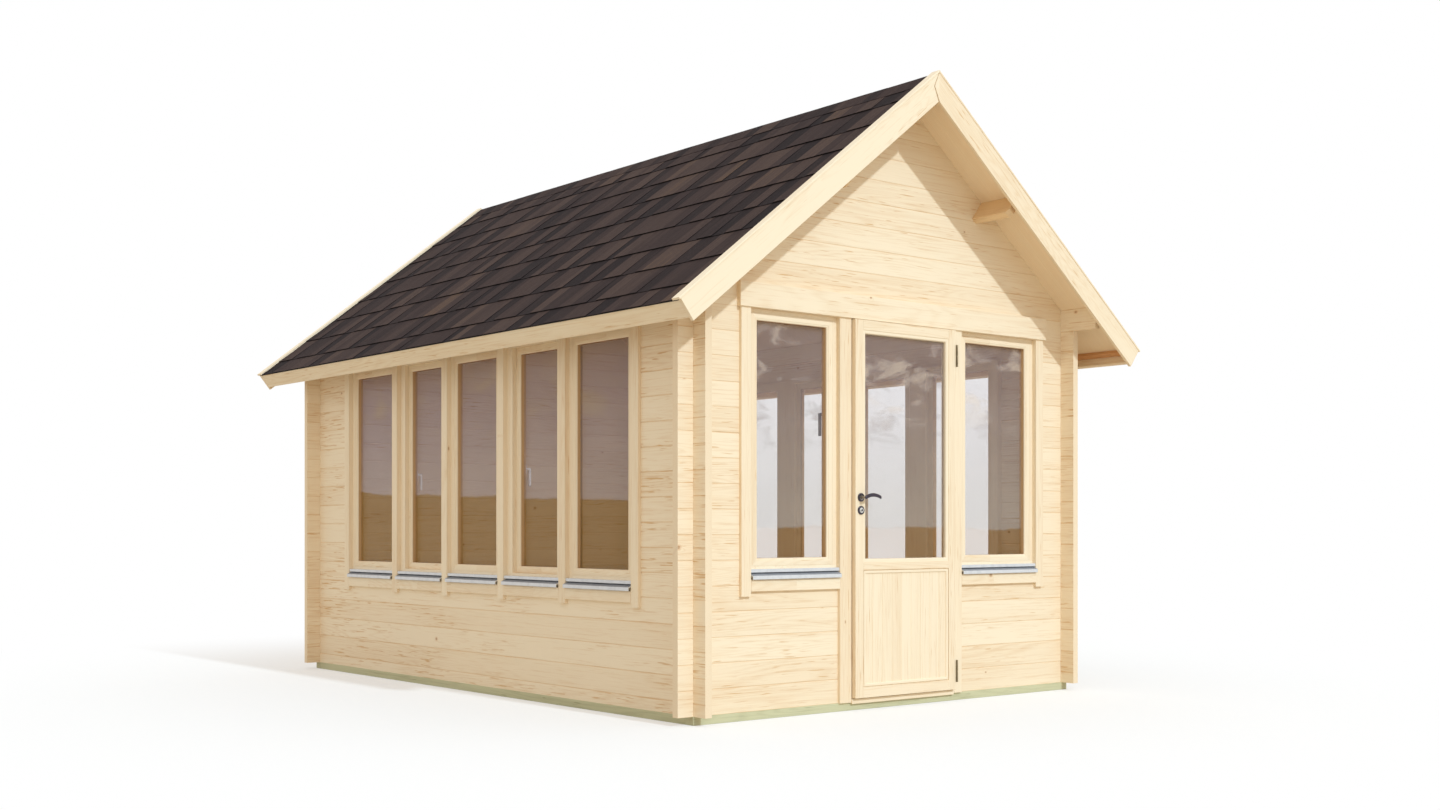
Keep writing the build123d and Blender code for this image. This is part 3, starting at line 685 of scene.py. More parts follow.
def volume(points: np.ndarray, faces: Iterable[np.ndarray]) -> float:
    """Return six times the volume inside closed faces: the sum of each fan triangle's triple product.

    Args:
        points: The corners' places.
        faces: Rows of corner numbers.

    Returns:
        Six times the volume.
    """
    total = 0.0
    for group in faces:
        corners = points[group] - points.mean(0)
        for second in range(1, group.shape[1] - 1):
            first, middle, last = corners[:, 0], corners[:, second], corners[:, second + 1]
            total += float((first * np.cross(middle, last)).sum())
    return total


def prisms(ends: Iterable[np.ndarray], tones: np.ndarray | None = None, sides: Sequence[int] = (0,)) -> Shell:
    """Return straight bodies between two sets of outlines, each as (bodies, corners, 3), with each side's finish."""
    return skin(np.stack(list(ends), 1), column_finish=sides, tones=tones)


def cuboids(spans: Sequence[tuple[float, float, float, float, float, float]]) -> Shell:
    """Return blocks from rows of x, y and z limits: low x, high x, low y, high y, low z, high z.

    Args:
        spans: The rows.

    Returns:
        The shell.
    """
    limits = np.array(spans, float)
    x, y = limits[:, [0, 1, 1, 0]], limits[:, [2, 2, 3, 3]]
    return prisms(np.stack([x, y, limits[:, [level] * 4]], -1) for level in (4, 5))


def circle(corners: int) -> np.ndarray:
    """Return evenly spaced angles round a circle, as (corners, 2) of cosine and sine."""
    turn = np.arange(corners) * (math.tau / corners)
    return np.stack([np.cos(turn), np.sin(turn)], -1)


def quarter(centre: tuple[float, float], radius: float, steps: int = 5) -> np.ndarray:
    """Return a quarter circle of points, from the top of the circle clockwise."""
    turn = np.radians(90.0 - np.linspace(0.0, 90.0, steps))
    return np.stack([centre[0] + radius * np.cos(turn), centre[1] + radius * np.sin(turn)], -1)


def round_edges(piece: bpy.types.Object, width: float) -> None:
    """Round an object's sharp edges to a width with a modifier.

    Args:
        piece: The object.
        width: Width of the rounding.
    """
    bevel = piece.modifiers.new("rounded", "BEVEL")
    bevel.width = width
    bevel.segments = 2
    bevel.limit_method = "ANGLE"
    bevel.angle_limit = math.radians(62.0)


def make_piece(
    name: str,
    shells: Sequence[Shell],
    finishes: Sequence[Finish],
    replaced: Sequence[str],
    body: str = "house",
    bevel: float = 0.0,
    smooth: float = 0.0,
) -> None:
    """Turn shells into one object that rides on a body.

    Args:
        name: The piece's name.
        shells: Its parts.
        finishes: The finishes that the shells' numbers mean.
        replaced: CAD nodes that it stands for.
        body: The CAD body that it moves with.
        bevel: Width of the rounding along its edges, or 0.
        smooth: Angle in degrees below which neighbouring faces are shaded as one, or 0.
    """
    starts = np.cumsum([0] + [len(shell.points) for shell in shells])
    points = np.concatenate([shell.points for shell in shells])
    faces = [row for shell, start in zip(shells, starts) for group in shell.faces for row in (group + start).tolist()]
    numbers = np.concatenate([group for shell in shells for group in shell.finishes])
    mesh = bpy.data.meshes.new(name)
    mesh.from_pydata(points.tolist(), [], faces)
    mesh.polygons.foreach_set("material_index", numbers.astype(np.int32))
    tone = mesh.attributes.new("tone", "FLOAT", "POINT")
    tone.data.foreach_set("value", np.concatenate([shell.tones for shell in shells]).astype(np.float32))
    for finish in finishes:
        mesh.materials.append(material(finish))
    if smooth:
        mesh.shade_smooth()
        mesh.set_sharp_from_angle(angle=math.radians(smooth))
    mesh.update()
    piece = bpy.data.objects.new(name, mesh)
    bpy.context.scene.collection.objects.link(piece)
    if bevel:
        round_edges(piece, bevel)
    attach(piece, body)
    if replaced:
        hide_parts(*replaced)
    log.info("%s: %d faces for %s", name, len(mesh.polygons), ", ".join(replaced) or "no node")


def dress(name: str, finish: Finish, edge: float = 0.0) -> None:
    """Give a CAD node a finish and rounded edges.

    Args:
        name: The node's name.
        finish: Its finish.
        edge: Width of the rounding, or 0. The node's loose triangles are joined before it.
    """
    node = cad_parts[name]
    node.data.materials.clear()
    node.data.materials.append(material(finish))
    if edge:
        weld = node.modifiers.new("joined", "WELD")
        weld.merge_threshold = 0.00002
        round_edges(node, edge)
    log.info("%s: %s", name, finish.name)


class Solid(NamedTuple):
    """The box of one solid of a CAD node: low x, high x, low y, high y, low z, high z."""

    left: float
    right: float
    front: float
    back: float
    base: float
    top: float


def solids(node: str) -> list[Solid]:
    """Return the boxes of a node's separate solids.

    Every corner starts with its own number. Each triangle's corners take their lowest number, again and again,
    until nothing changes, so all the corners of a solid end with the same one.

    Args:
        node: A CAD node.

    Returns:
        One box for each solid.
    """
    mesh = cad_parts[node].data
    places = np.empty(len(mesh.vertices) * 3, np.float32)
    mesh.vertices.foreach_get("co", places)
    corners = np.empty(len(mesh.loops), np.int32)
    mesh.loops.foreach_get("vertex_index", corners)
    keys, index = np.unique(np.round(places.reshape(-1, 3) * 1e5).astype(np.int64), axis=0, return_inverse=True)
    triangles = index.ravel()[corners].reshape(-1, 3)
    labels, before = np.arange(len(keys)), None
    while not np.array_equal(labels, before):
        before = labels.copy()
        np.minimum.at(labels, triangles.ravel(), np.repeat(before[triangles].min(1), 3))
    boxes = [keys[labels == label] / 1e5 for label in np.unique(labels)]
    return [Solid(*np.stack([inside.min(0), inside.max(0)], -1).ravel()) for inside in boxes]


class Wall(Enum):
    """A wall that holds windows."""

    FRONT = "front"
    LEFT = "left"
    RIGHT = "right"

    def place(self, span: np.ndarray | float, level: np.ndarray, out: np.ndarray) -> np.ndarray:
        """Turn distances along the wall, up it and out of its face into x, y and z.

        Args:
            span: Distances along the wall.
            level: Heights.
            out: Reaches out of its face.

        Returns:
            The points.
        """
        span, level, out = np.broadcast_arrays(span, level, out)
        if self is Wall.FRONT:
            return np.stack([span, FRONT_FACE - out, level], -1)
        side = -1.0 if self is Wall.LEFT else 1.0
        return np.stack([side * (HALF_WIDTH + out), span, level], -1)

    def measure(self, solid: Solid) -> tuple[float, float, float]:
        """Return a solid's start and end along the wall, and its reach out of the wall's face.

        Args:
            solid: The solid's box.

        Returns:
            The start, the end and the reach.
        """
        if self is Wall.FRONT:
            return solid.left, solid.right, FRONT_FACE - solid.front
        reach = -solid.left if self is Wall.LEFT else solid.right
        return solid.front, solid.back, reach - HALF_WIDTH

    def carry(self, solid: Solid, out: np.ndarray, level: np.ndarray, sides: Sequence[int] = (0,)) -> Shell:
        """Carry an outline, given by reaches and levels, along the wall from one end of a solid to the other."""
        start, end, _ = self.measure(solid)
        return prisms((self.place(at, level, out)[None] for at in (start, end)), sides=sides)

    @classmethod
    def holding(cls, solid: Solid) -> "Wall":
        """Return the wall whose face a solid stands out of.

        Args:
            solid: The solid's box.

        Returns:
            The wall.
        """
        if solid.front < FRONT_FACE - 0.01:
            return cls.FRONT
        return cls.LEFT if solid.left < -HALF_WIDTH else cls.RIGHT


def moulded_ring(wall: Wall, solid: Solid, profile: np.ndarray, sides: Sequence[int] = (0,)) -> Shell:
    """Carry a moulding round a rectangle, mitred at its corners.

    At each corner the profile's first number is the distance in from both edges, and its second the distance
    out of the solid's outer face. Faces after stations 0 and 2 are rails, the others stiles.

    Args:
        wall: The wall that it stands in.
        solid: The rectangle's box.
        profile: Corners of the moulding as (corners, 2).
        sides: What each of the profile's sides adds to the finish.

    Returns:
        The shell, with finish 0 on the stiles and 1 on the rails.
    """
    start, end, reach = wall.measure(solid)
    inward, out = profile[:, 0], profile[:, 1] + reach
    spans = [start + inward, end - inward, end - inward, start + inward]
    levels = [solid.base + inward, solid.base + inward, solid.top - inward, solid.top - inward]
    stations = np.stack([wall.place(span, level, out) for span, level in zip(spans, levels)])
    return skin(stations[None], closed=True, row_finish=(1, 0, 1, 0), column_finish=sides)


def slope_xz(run: np.ndarray | float, lift: np.ndarray | float, side: int) -> tuple[np.ndarray, np.ndarray]:
    """Turn a run down the slope from the ridge and a lift above the soffit into x and z.

    Args:
        run: Distances from the ridge.
        lift: Distances above the soffit.
        side: -1 for left, 1 for right.

    Returns:
        The x and the z.
    """
    x = side * (run * math.cos(PITCH) + lift * math.sin(PITCH))
    z = SOFFIT_APEX - run * math.sin(PITCH) + lift * math.cos(PITCH)
    return x, z


def slope_points(run: np.ndarray | float, lift: np.ndarray, side: int, y: np.ndarray) -> np.ndarray:
    """Turn runs, lifts and places along the building into points of a slope."""
    x, z = slope_xz(run, lift, side)
    return np.stack(np.broadcast_arrays(x, y, z), -1)


# ---------------------------------------------------------------- sub-assemblies

# Stretches of the front and side rows, so that neighbouring window boards differ in grain
FRONT_BAYS = Courses(0, -1.6, 0.8)
SIDE_BAYS = Courses(1, -2.1, 0.7)


@dataclass
class Timbers:
    """The CAD's own logs, boards, hinges and handles: finished, and rounded along their edges."""

    edge: float = 0.0016
    hinge_edge: float = 0.001
    handle_edge: float = 0.004

    def timber(self) -> list[tuple[Finish, float, str]]:
        """Return each timber finish, the width of its rounding, and the CAD nodes that have it.

        Returns:
            Rows of a finish, a width, and names with spaces between.
        """
        wood, across, deep, upright = SpruceFinish, Grain.ALONG_X, Grain.ALONG_Y, Grain.UPRIGHT
        front_logs = Courses(2, FRONT_JOINT, LOG_HEIGHT, 0.0022)
        side_logs = Courses(2, SIDE_JOINT, LOG_HEIGHT, 0.0030)
        panel = Courses(0, -0.322, 0.07733)
        golden = {"pale": srgb(240, 208, 164), "warm": srgb(208, 164, 112), "knots": 0.0}
        # Painted shade: the eave battens are a darker orange-brown than the other boards, for the shade under the eave.
        painted_shade_batten = {"pale": srgb(222, 168, 118), "warm": srgb(180, 122, 76), "knots": 0.0}
        green = {"pale": srgb(208, 206, 170), "warm": srgb(166, 164, 126)}
        front_rails, side_rails, jamb_rails = (0.816, 2.169), (0.749, 2.102), (0.0, 2.164)
        front_walls = "front_wall_left front_wall_right front_gable back_wall"
        side_trims, side_frames = "left_window_trims right_window_trims", "left_window_frame right_window_frame"
        front_frame = "front_window_frame"
        edge = self.edge
        return [
            (wood("spruce_logs_across", across, front_logs, seed=3.0, flecks=0.645), edge, front_walls),
            (wood("spruce_logs_deep", deep, side_logs, seed=17.0, flecks=0.605), edge, "left_wall right_wall"),
            (wood("spruce_trim_front", upright, FRONT_BAYS, seed=5.0, contrast=0.35), 0.0, "front_window_trims"),
            (wood("spruce_trim_side", upright, SIDE_BAYS, seed=9.0, contrast=0.35), 0.0, side_trims),
            (wood("spruce_header", across, seed=21.3, contrast=0.4), edge, "header_board"),
            (wood("spruce_eave", deep, seed=33.7, contrast=0.45), edge, "fascia_boards"),
            (wood("spruce_beam", deep, seed=36.1, contrast=0.5, **golden), edge, "purlins"),
            (wood("spruce_batten", deep, seed=38.9, **painted_shade_batten), edge, "eave_battens"),
            (wood("spruce_frame_front", upright, rails=front_rails, seed=6.4, contrast=0.3), edge, front_frame),
            (wood("spruce_frame_side", upright, rails=side_rails, seed=8.1, contrast=0.3), edge, side_frames),
            (wood("spruce_jamb", upright, rails=jamb_rails, seed=7.7), edge, "door_frame"),
            (wood("spruce_panel", upright, panel, seed=40.0, knots=0.05, contrast=0.35), 0.0, "door_panel"),
            (wood("treated_across", across, seed=2.2, **green), edge, "bearer_front bearer_back floor_joists"),
            (wood("treated_deep", deep, seed=4.9, **green), edge, "side_bearers"),
            (wood("spruce_threshold", across, seed=1.4), edge, "threshold"),
        ]

    def build(self) -> None:
        """Dress every CAD node that stays."""
        hinge = MetalFinish("hinge_steel", srgb(146, 134, 108), srgb(116, 104, 80), 1.0, 0.38)
        handle = MetalFinish("handle_metal", srgb(226, 229, 236), srgb(190, 194, 202), 1.0, 0.32)
        metals = [(hinge, self.hinge_edge, "frame_hinges leaf_hinges"), (handle, self.handle_edge, "window_handles")]
        for finish, edge, nodes in self.timber() + metals:
            for name in nodes.split():
                dress(name, finish, edge)


@dataclass
class Windows:
    """Moulded sashes, panes with a painted reflection, sill boards and folded sills in the three rows."""

    sash_face: float = 0.042
    sash_depth: float = 0.044
    moulding: float = 0.009
    edge: float = 0.002
    sheet: float = 0.0025
    handle_level: float = 1.653

    def sash_profile(self) -> np.ndarray:
        """Return a sash member's outline: square behind, with a rounded inner edge to the glass.

        Returns:
            Corners as (corners, 2): distance in from the edge, and out of the outer face.
        """
        face, depth, curve, edge = self.sash_face, self.sash_depth, self.moulding, self.edge
        step = face - curve - 0.003
        outer = [(0.0, -edge), (edge * 0.3, -edge * 0.3), (edge, 0.0), (step, 0.0), (step, -0.002)]
        ovolo = quarter((face - curve, -curve - 0.002), curve)
        return np.concatenate([outer, ovolo, [(face, -depth), (0.0, -depth)]])

    def build_sashes(self, wall: Wall) -> None:
        """Make a row's sashes as mitred mouldings on the CAD's sashes, with painted shade towards the glass.

        Args:
            wall: The wall that the row stands in.
        """
        row, node = wall.value, f"{wall.value}_sashes"
        profile = self.sash_profile()
        # The inner face towards the glass takes a darker finish: painted shade in the reveal.
        glass_side_shade = np.zeros(len(profile), int)
        glass_side_shade[-3] = 2
        shells = [moulded_ring(wall, solid, profile, glass_side_shade) for solid in solids(node)]
        level, bays = (Grain.ALONG_X, FRONT_BAYS) if wall is Wall.FRONT else (Grain.ALONG_Y, SIDE_BAYS)
        stile = SpruceFinish(f"sash_stiles_{row}", Grain.UPRIGHT, bays, seed=50.0, knots=0.05, contrast=0.35)
        rail = SpruceFinish(f"sash_rails_{row}", level, bays, seed=60.0, knots=0.05, contrast=0.35)
        # Painted shade: the stiles' faces towards the glass are darker, and the rails' darker still.
        jamb = replace(stile, name=f"sash_jambs_painted_shade_{row}", pale=srgb(214, 176, 130), warm=srgb(186, 144, 98))
        head = replace(rail, name=f"sash_heads_painted_shade_{row}", pale=srgb(164, 116, 70), warm=srgb(134, 90, 52))
        make_piece(f"{row}_sash_mouldings", shells, (stile, rail, jamb, head), [node], smooth=30.0)

    def build_sills(self) -> None:
        """Make every bay's folded sill on the CAD's sills.

        A rail along the top sheds its drops on a slope, which turns down at its edge into a lip. The slope is a
        darker grey as painted shade under the rail. Each corner of the outline is its reach, its height from the
        sill's top and the finish of the side after it.
        """
        inner = 0.0340 - self.sheet
        corners = [
            (-0.0110, 0.0, 0), (0.0125, 0.0, 0), (0.0140, -0.0015, 0), (0.0140, -0.0170, 0), (0.0125, -0.0185, 1),
            (-0.0040, -0.0185, 1), (-0.0040, -0.0205, 1), (0.0310, -0.0335, 1), (0.0335, -0.0350, 0),
            (0.0340, -0.0375, 0), (0.0340, -0.0535, 0), (0.0328, -0.0550, 0), (inner, -0.0550, 0),
            (inner, -0.0400, 0), (-0.0110, -0.0240, 0),
        ]
        out, height, sides = np.array(corners).T
        shells = [
            Wall.holding(solid).carry(solid, out, solid.top + height, sides.astype(int))
            for solid in solids("window_sills")
        ]
        brush = (60.0, 60.0, 900.0)
        sheet = MetalFinish("sill_aluminium", srgb(223, 224, 226), srgb(200, 202, 206), 0.3, 0.42, brush)
        # Painted shade: the slope under the rail is a darker grey than the sheet.
        slope = MetalFinish("sill_slope_painted_shade", srgb(156, 158, 164), srgb(132, 135, 142), 0.1, 0.6)
        make_piece("folded_sills", shells, (sheet, slope), ["window_sills"])

    def build_sill_boards(self) -> None:
        """Make the boards under the sills, each with a tongue let into the opening above the wall's top log."""
        board, tongue, lap, edge = 0.020, 0.011, 0.034, 0.002
        out = np.array([0.0, board - edge, board, board, board - edge, -tongue, -tongue, 0.0])
        shells = []
        for solid in solids("sill_boards"):
            wall, low, high = Wall.holding(solid), solid.base, solid.top
            level = np.array([low, low, low + edge, high - edge, high, high, low + lap, low + lap])
            shells.append(wall.carry(solid, out, level).painted(int(wall is not Wall.FRONT)))
        front = SpruceFinish("sill_boards_front", Grain.ALONG_X, FRONT_BAYS, seed=70.0, contrast=0.4)
        side = SpruceFinish("sill_boards_side", Grain.ALONG_Y, SIDE_BAYS, seed=75.0, contrast=0.4)
        make_piece("moulded_sill_boards", shells, (front, side), ["sill_boards"])

    def build_front_handle(self) -> None:
        """Make the inside handle of the window left of the door: a plate, a neck and a hanging grip.

        Each part is half its width, its reach from the sash and to its end, and its lowest and highest level.
        """
        sash = min(solids("front_sashes"), key=lambda solid: solid.left)
        middle, back, level = sash.right - self.sash_face / 2.0, sash.back, self.handle_level
        plate, neck = (0.013, 0.0, 0.009, -0.030, 0.030), (0.007, 0.009, 0.031, -0.007, 0.007)
        grip = (0.007, 0.031, 0.045, -0.121, 0.007)
        spans = [
            (middle - half, middle + half, back + near, back + far, level + low, level + high)
            for half, near, far, low, high in (plate, neck, grip)
        ]
        # Painted shade: this handle is a darker grey than the other window handles, which are the same metal.
        metal = MetalFinish("front_handle_metal_painted_shade", srgb(96, 94, 92), srgb(74, 72, 70), 0.8, 0.42)
        make_piece("front_window_handle", [cuboids(spans)], [metal], [], bevel=0.002)

    def glaze(self) -> None:
        """Finish the panes with a painted reflection: a sunlit copy, and a shaded one for the left row."""
        sunlit_glass_reflection = GlassFinish(
            "glass_painted_sun_reflection", top=srgb(206, 196, 212), reflected_horizon=srgb(212, 204, 199), reflected_earth=srgb(190, 142, 86),
            level=1.02, reflection_covers=(0.105, 0.168, 0.118), streaks=0.20,
        )
        shaded_glass_reflection = GlassFinish(
            "glass_painted_shade_reflection", top=srgb(212, 197, 228), reflected_horizon=srgb(228, 214, 218), reflected_earth=srgb(200, 156, 84),
            level=1.215, reflection_covers=(0.163, 0.252, 0.238), lean=(0.14, 0.03),
        )
        for name in ("front_panes", "door_glass", "right_panes"):
            dress(name, sunlit_glass_reflection)
        dress("left_panes", shaded_glass_reflection)

    def build(self) -> None:
        """Make all the rows."""
        for wall in Wall:
            self.build_sashes(wall)
        self.build_sills()
        self.build_sill_boards()
        self.build_front_handle()
        self.glaze()


@dataclass
class Door:
    """The half-glazed leaf: planks, glazing beads, levers and lock."""

    stile: float = 0.062
    seam: float = 0.0002
    outer: float = -2.236
    inner: float = -2.195
    lever_x: float = -0.344
    lever_z: float = 1.190
    cylinder_z: float = 1.118

    def build_leaf(self) -> None:
        """Make the leaf from two stiles and three rails, with a hairline seam at each joint."""
        leaf, panel, glass = (solids(node)[0] for node in ("door_leaf", "door_panel", "door_glass"))
        left, right, faces = leaf.left + self.stile, leaf.right - self.stile, (leaf.front, leaf.back)
        stiles = cuboids([(*span, *faces, leaf.base, leaf.top) for span in ((leaf.left, left), (right, leaf.right))])
        levels = ((leaf.base, panel.base), (panel.top, glass.base), (glass.top, leaf.top))
        rails = cuboids([(left + self.seam, right - self.seam, *faces, *level) for level in levels]).painted(1)
        upright = SpruceFinish("door_stiles", Grain.UPRIGHT, Courses(0, -0.8, 0.8), seed=81.0, contrast=0.45)
        level = SpruceFinish("door_rails", Grain.ALONG_X, Courses(2, 0.068, 0.716), seed=86.0, contrast=0.45)
        make_piece("door_planks", [stiles, rails], (upright, level), ["door_leaf"], "door", 0.0012)

    def build_beads(self) -> None:
        """Make the beads that hold the pane, outside and turned round inside, and the strip round the panel."""
        width, depth, curve = 0.021, 0.020, 0.010
        ovolo = quarter((width - curve, -curve), curve)
        outline = np.concatenate([[(0.0, 0.0)], ovolo, [(width, -depth), (0.0, -depth)]])
        near, far = sorted(solids("door_beads"), key=lambda solid: solid.front)
        thickness = far.back - far.front
        flipped = outline * (1.0, -thickness / depth) - (0.0, thickness)
        shells = [moulded_ring(Wall.FRONT, near, outline), moulded_ring(Wall.FRONT, far, flipped)]
        shells.append(self.panel_moulding())
        upright = SpruceFinish("bead_uprights", Grain.UPRIGHT, seed=91.0, knots=0.0, contrast=0.3)
        level = replace(upright, name="bead_levels", grain=Grain.ALONG_X, seed=94.0)
        make_piece(
            "door_bead_mouldings", shells, (upright, level), ["door_beads"], "door", smooth=30.0
        )

    def panel_moulding(self) -> Shell:
        """Return the strip round the panel: it stands on the boards, with a seam to the leaf and a rounded lip.

        Returns:
            The shell.
        """
        gap, width, curve, bite = 0.0042, 0.020, 0.0042, 0.003
        panel = solids("door_panel")[0]
        rise = panel.front - self.outer - 0.0008
        lip = quarter((width - curve, -curve), curve)
        outline = [[(gap, -0.0012), (gap + 0.0012, 0.0)], lip, [(width, -rise - bite), (gap, -rise - bite)]]
        return moulded_ring(Wall.FRONT, panel._replace(front=panel.front - rise), np.concatenate(outline))

    def both(self, x: np.ndarray, reach: np.ndarray, z: np.ndarray, **options: Any) -> list[Shell]:
        """Skin one shape on the leaf's outer face and one on its inner face, by the reach out of each."""
        places = [np.stack(np.broadcast_arrays(x, y, z), -1) for y in (self.outer - reach, self.inner + reach)]
        return [skin(place[None], **options) for place in places]

    def turned(self, level: float, profile: Sequence[Sequence[float]], **options: Any) -> list[Shell]:
        """Turn a profile round an axis square to the leaf, on both of its faces.

        Args:
            level: Height of the axis.
            profile: Pairs of a radius and a reach out of the leaf's face.
            options: What skin takes besides the points.

        Returns:
            The outer and the inner shell.
        """
        ring, outline = circle(40), np.array(profile)
        radius = outline[:, :1]
        return self.both(self.lever_x + radius * ring[:, 0], outline[:, 1:], level + radius * ring[:, 1], **options)

    def grips(self) -> list[Shell]:
        """Make the levers' grips: ellipses carried along an arch that rises, droops and closes in a round tip.

        At share t of the length the arch stands 4 t (1 - t) times its rise above the hub, less t times its
        droop, and the ellipse shrinks by 0.15 t, and as a circle's edge over the last and first parts.

        Returns:
            The outer and the inner grip.
        """
        length, standoff, rise, droop, tall, thick = 0.118, 0.044, 0.0145, 0.0015, 0.0110, 0.0064
        share = np.concatenate([np.linspace(-0.075, 0.0, 6), np.linspace(0.04, 0.94, 22), np.linspace(0.95, 0.9995, 8)])
        tip = np.sqrt(np.clip(1.0 - (np.clip(share - 0.945, 0.0, 1.0) / 0.055) ** 2, 0.0, 1.0))
        hub = np.sqrt(np.clip(1.0 - (np.clip(-share, 0.0, 1.0) / 0.0755) ** 2, 0.0, 1.0))
        size = ((1.0 - 0.15 * np.clip(share, 0.0, 1.0)) * tip * hub)[:, None]
        arch = np.where(share < 0.0, 0.0, 4.0 * rise * share * (1.0 - share) - droop * share) + self.lever_z
        ring = circle(20)
        x, z = self.lever_x + share[:, None] * length, arch[:, None] + size * tall * ring[:, 1]
        return self.both(x, standoff + size * thick * ring[:, 0], z)

    def build_furniture(self) -> None:
        """Make the levers, rosettes and lock cylinder."""
        dark = MetalFinish("lever_bronze", srgb(84, 78, 86), srgb(58, 53, 60), 1.0, 0.30)
        satin = MetalFinish("rosette_satin", srgb(168, 160, 150), srgb(130, 122, 114), 1.0, 0.35)
        steel = MetalFinish("cylinder_steel", srgb(222, 220, 214), srgb(190, 188, 182), 1.0, 0.30)
        # Painted shade: a dark mark on the plug stands in for the keyhole's slot.
        keyhole_painted_shade = MetalFinish("keyhole_painted_shade", srgb(40, 40, 42), srgb(28, 28, 30), 0.6, 0.6)
        rim = [(0.0150, 0.0080), *quarter((0.0205, 0.0045), 0.0035), (0.024, 0.0)]
        rosette = [(0.0102, 0.0), (0.0102, 0.0070), (0.0115, 0.0080), *rim]
        shield = [(0.0088, 0.0), (0.0088, 0.0075), (0.0100, 0.0080), *rim]
        neck = [(0.0095, 0.001), (0.009, 0.009), (0.0072, 0.016), (0.0066, 0.034), (0.0072, 0.044)]
        neck += [(0.0068, 0.0475), (0.0045, 0.0495), (0.002, 0.050)]
        plug = [(0.0084, 0.0), (0.0084, 0.0100), (0.0078, 0.0110), (0.0060, 0.0111)]
        hollow = {"closed": True, "row_finish": (0, 1, 1, 0, 0, 0, 0, 0, 0, 0)}
        solid = {"row_finish": (1,)}
        rosettes = self.turned(self.lever_z, rosette, **hollow)
        make_piece("lever_rosettes", rosettes, (dark, satin), ["door_rosettes"], "door", smooth=35.0)
        levers = self.turned(self.lever_z, neck, **solid) + self.grips()
        make_piece("lever_handles", levers, (dark, satin), ["door_lever"], "door_lever", smooth=50.0)
        sides = (self.lever_x - 0.0009, self.lever_x + 0.0009)
        levels = (self.cylinder_z - 0.0055, self.cylinder_z + 0.003)
        faces = ((self.outer - 0.01125, self.outer - 0.0105), (self.inner + 0.0105, self.inner + 0.01125))
        slots = cuboids([(*sides, *face, *levels) for face in faces]).painted(2)
        locks = [*self.turned(self.cylinder_z, shield, **hollow), *self.turned(self.cylinder_z, plug, **solid), slots]
        metals = (dark, steel, keyhole_painted_shade)
        make_piece("lock_cylinder", locks, metals, ["door_cylinder"], "door", smooth=35.0)

    def build(self) -> None:
        """Make the whole leaf."""
        self.build_leaf()
        self.build_beads()
        self.build_furniture()


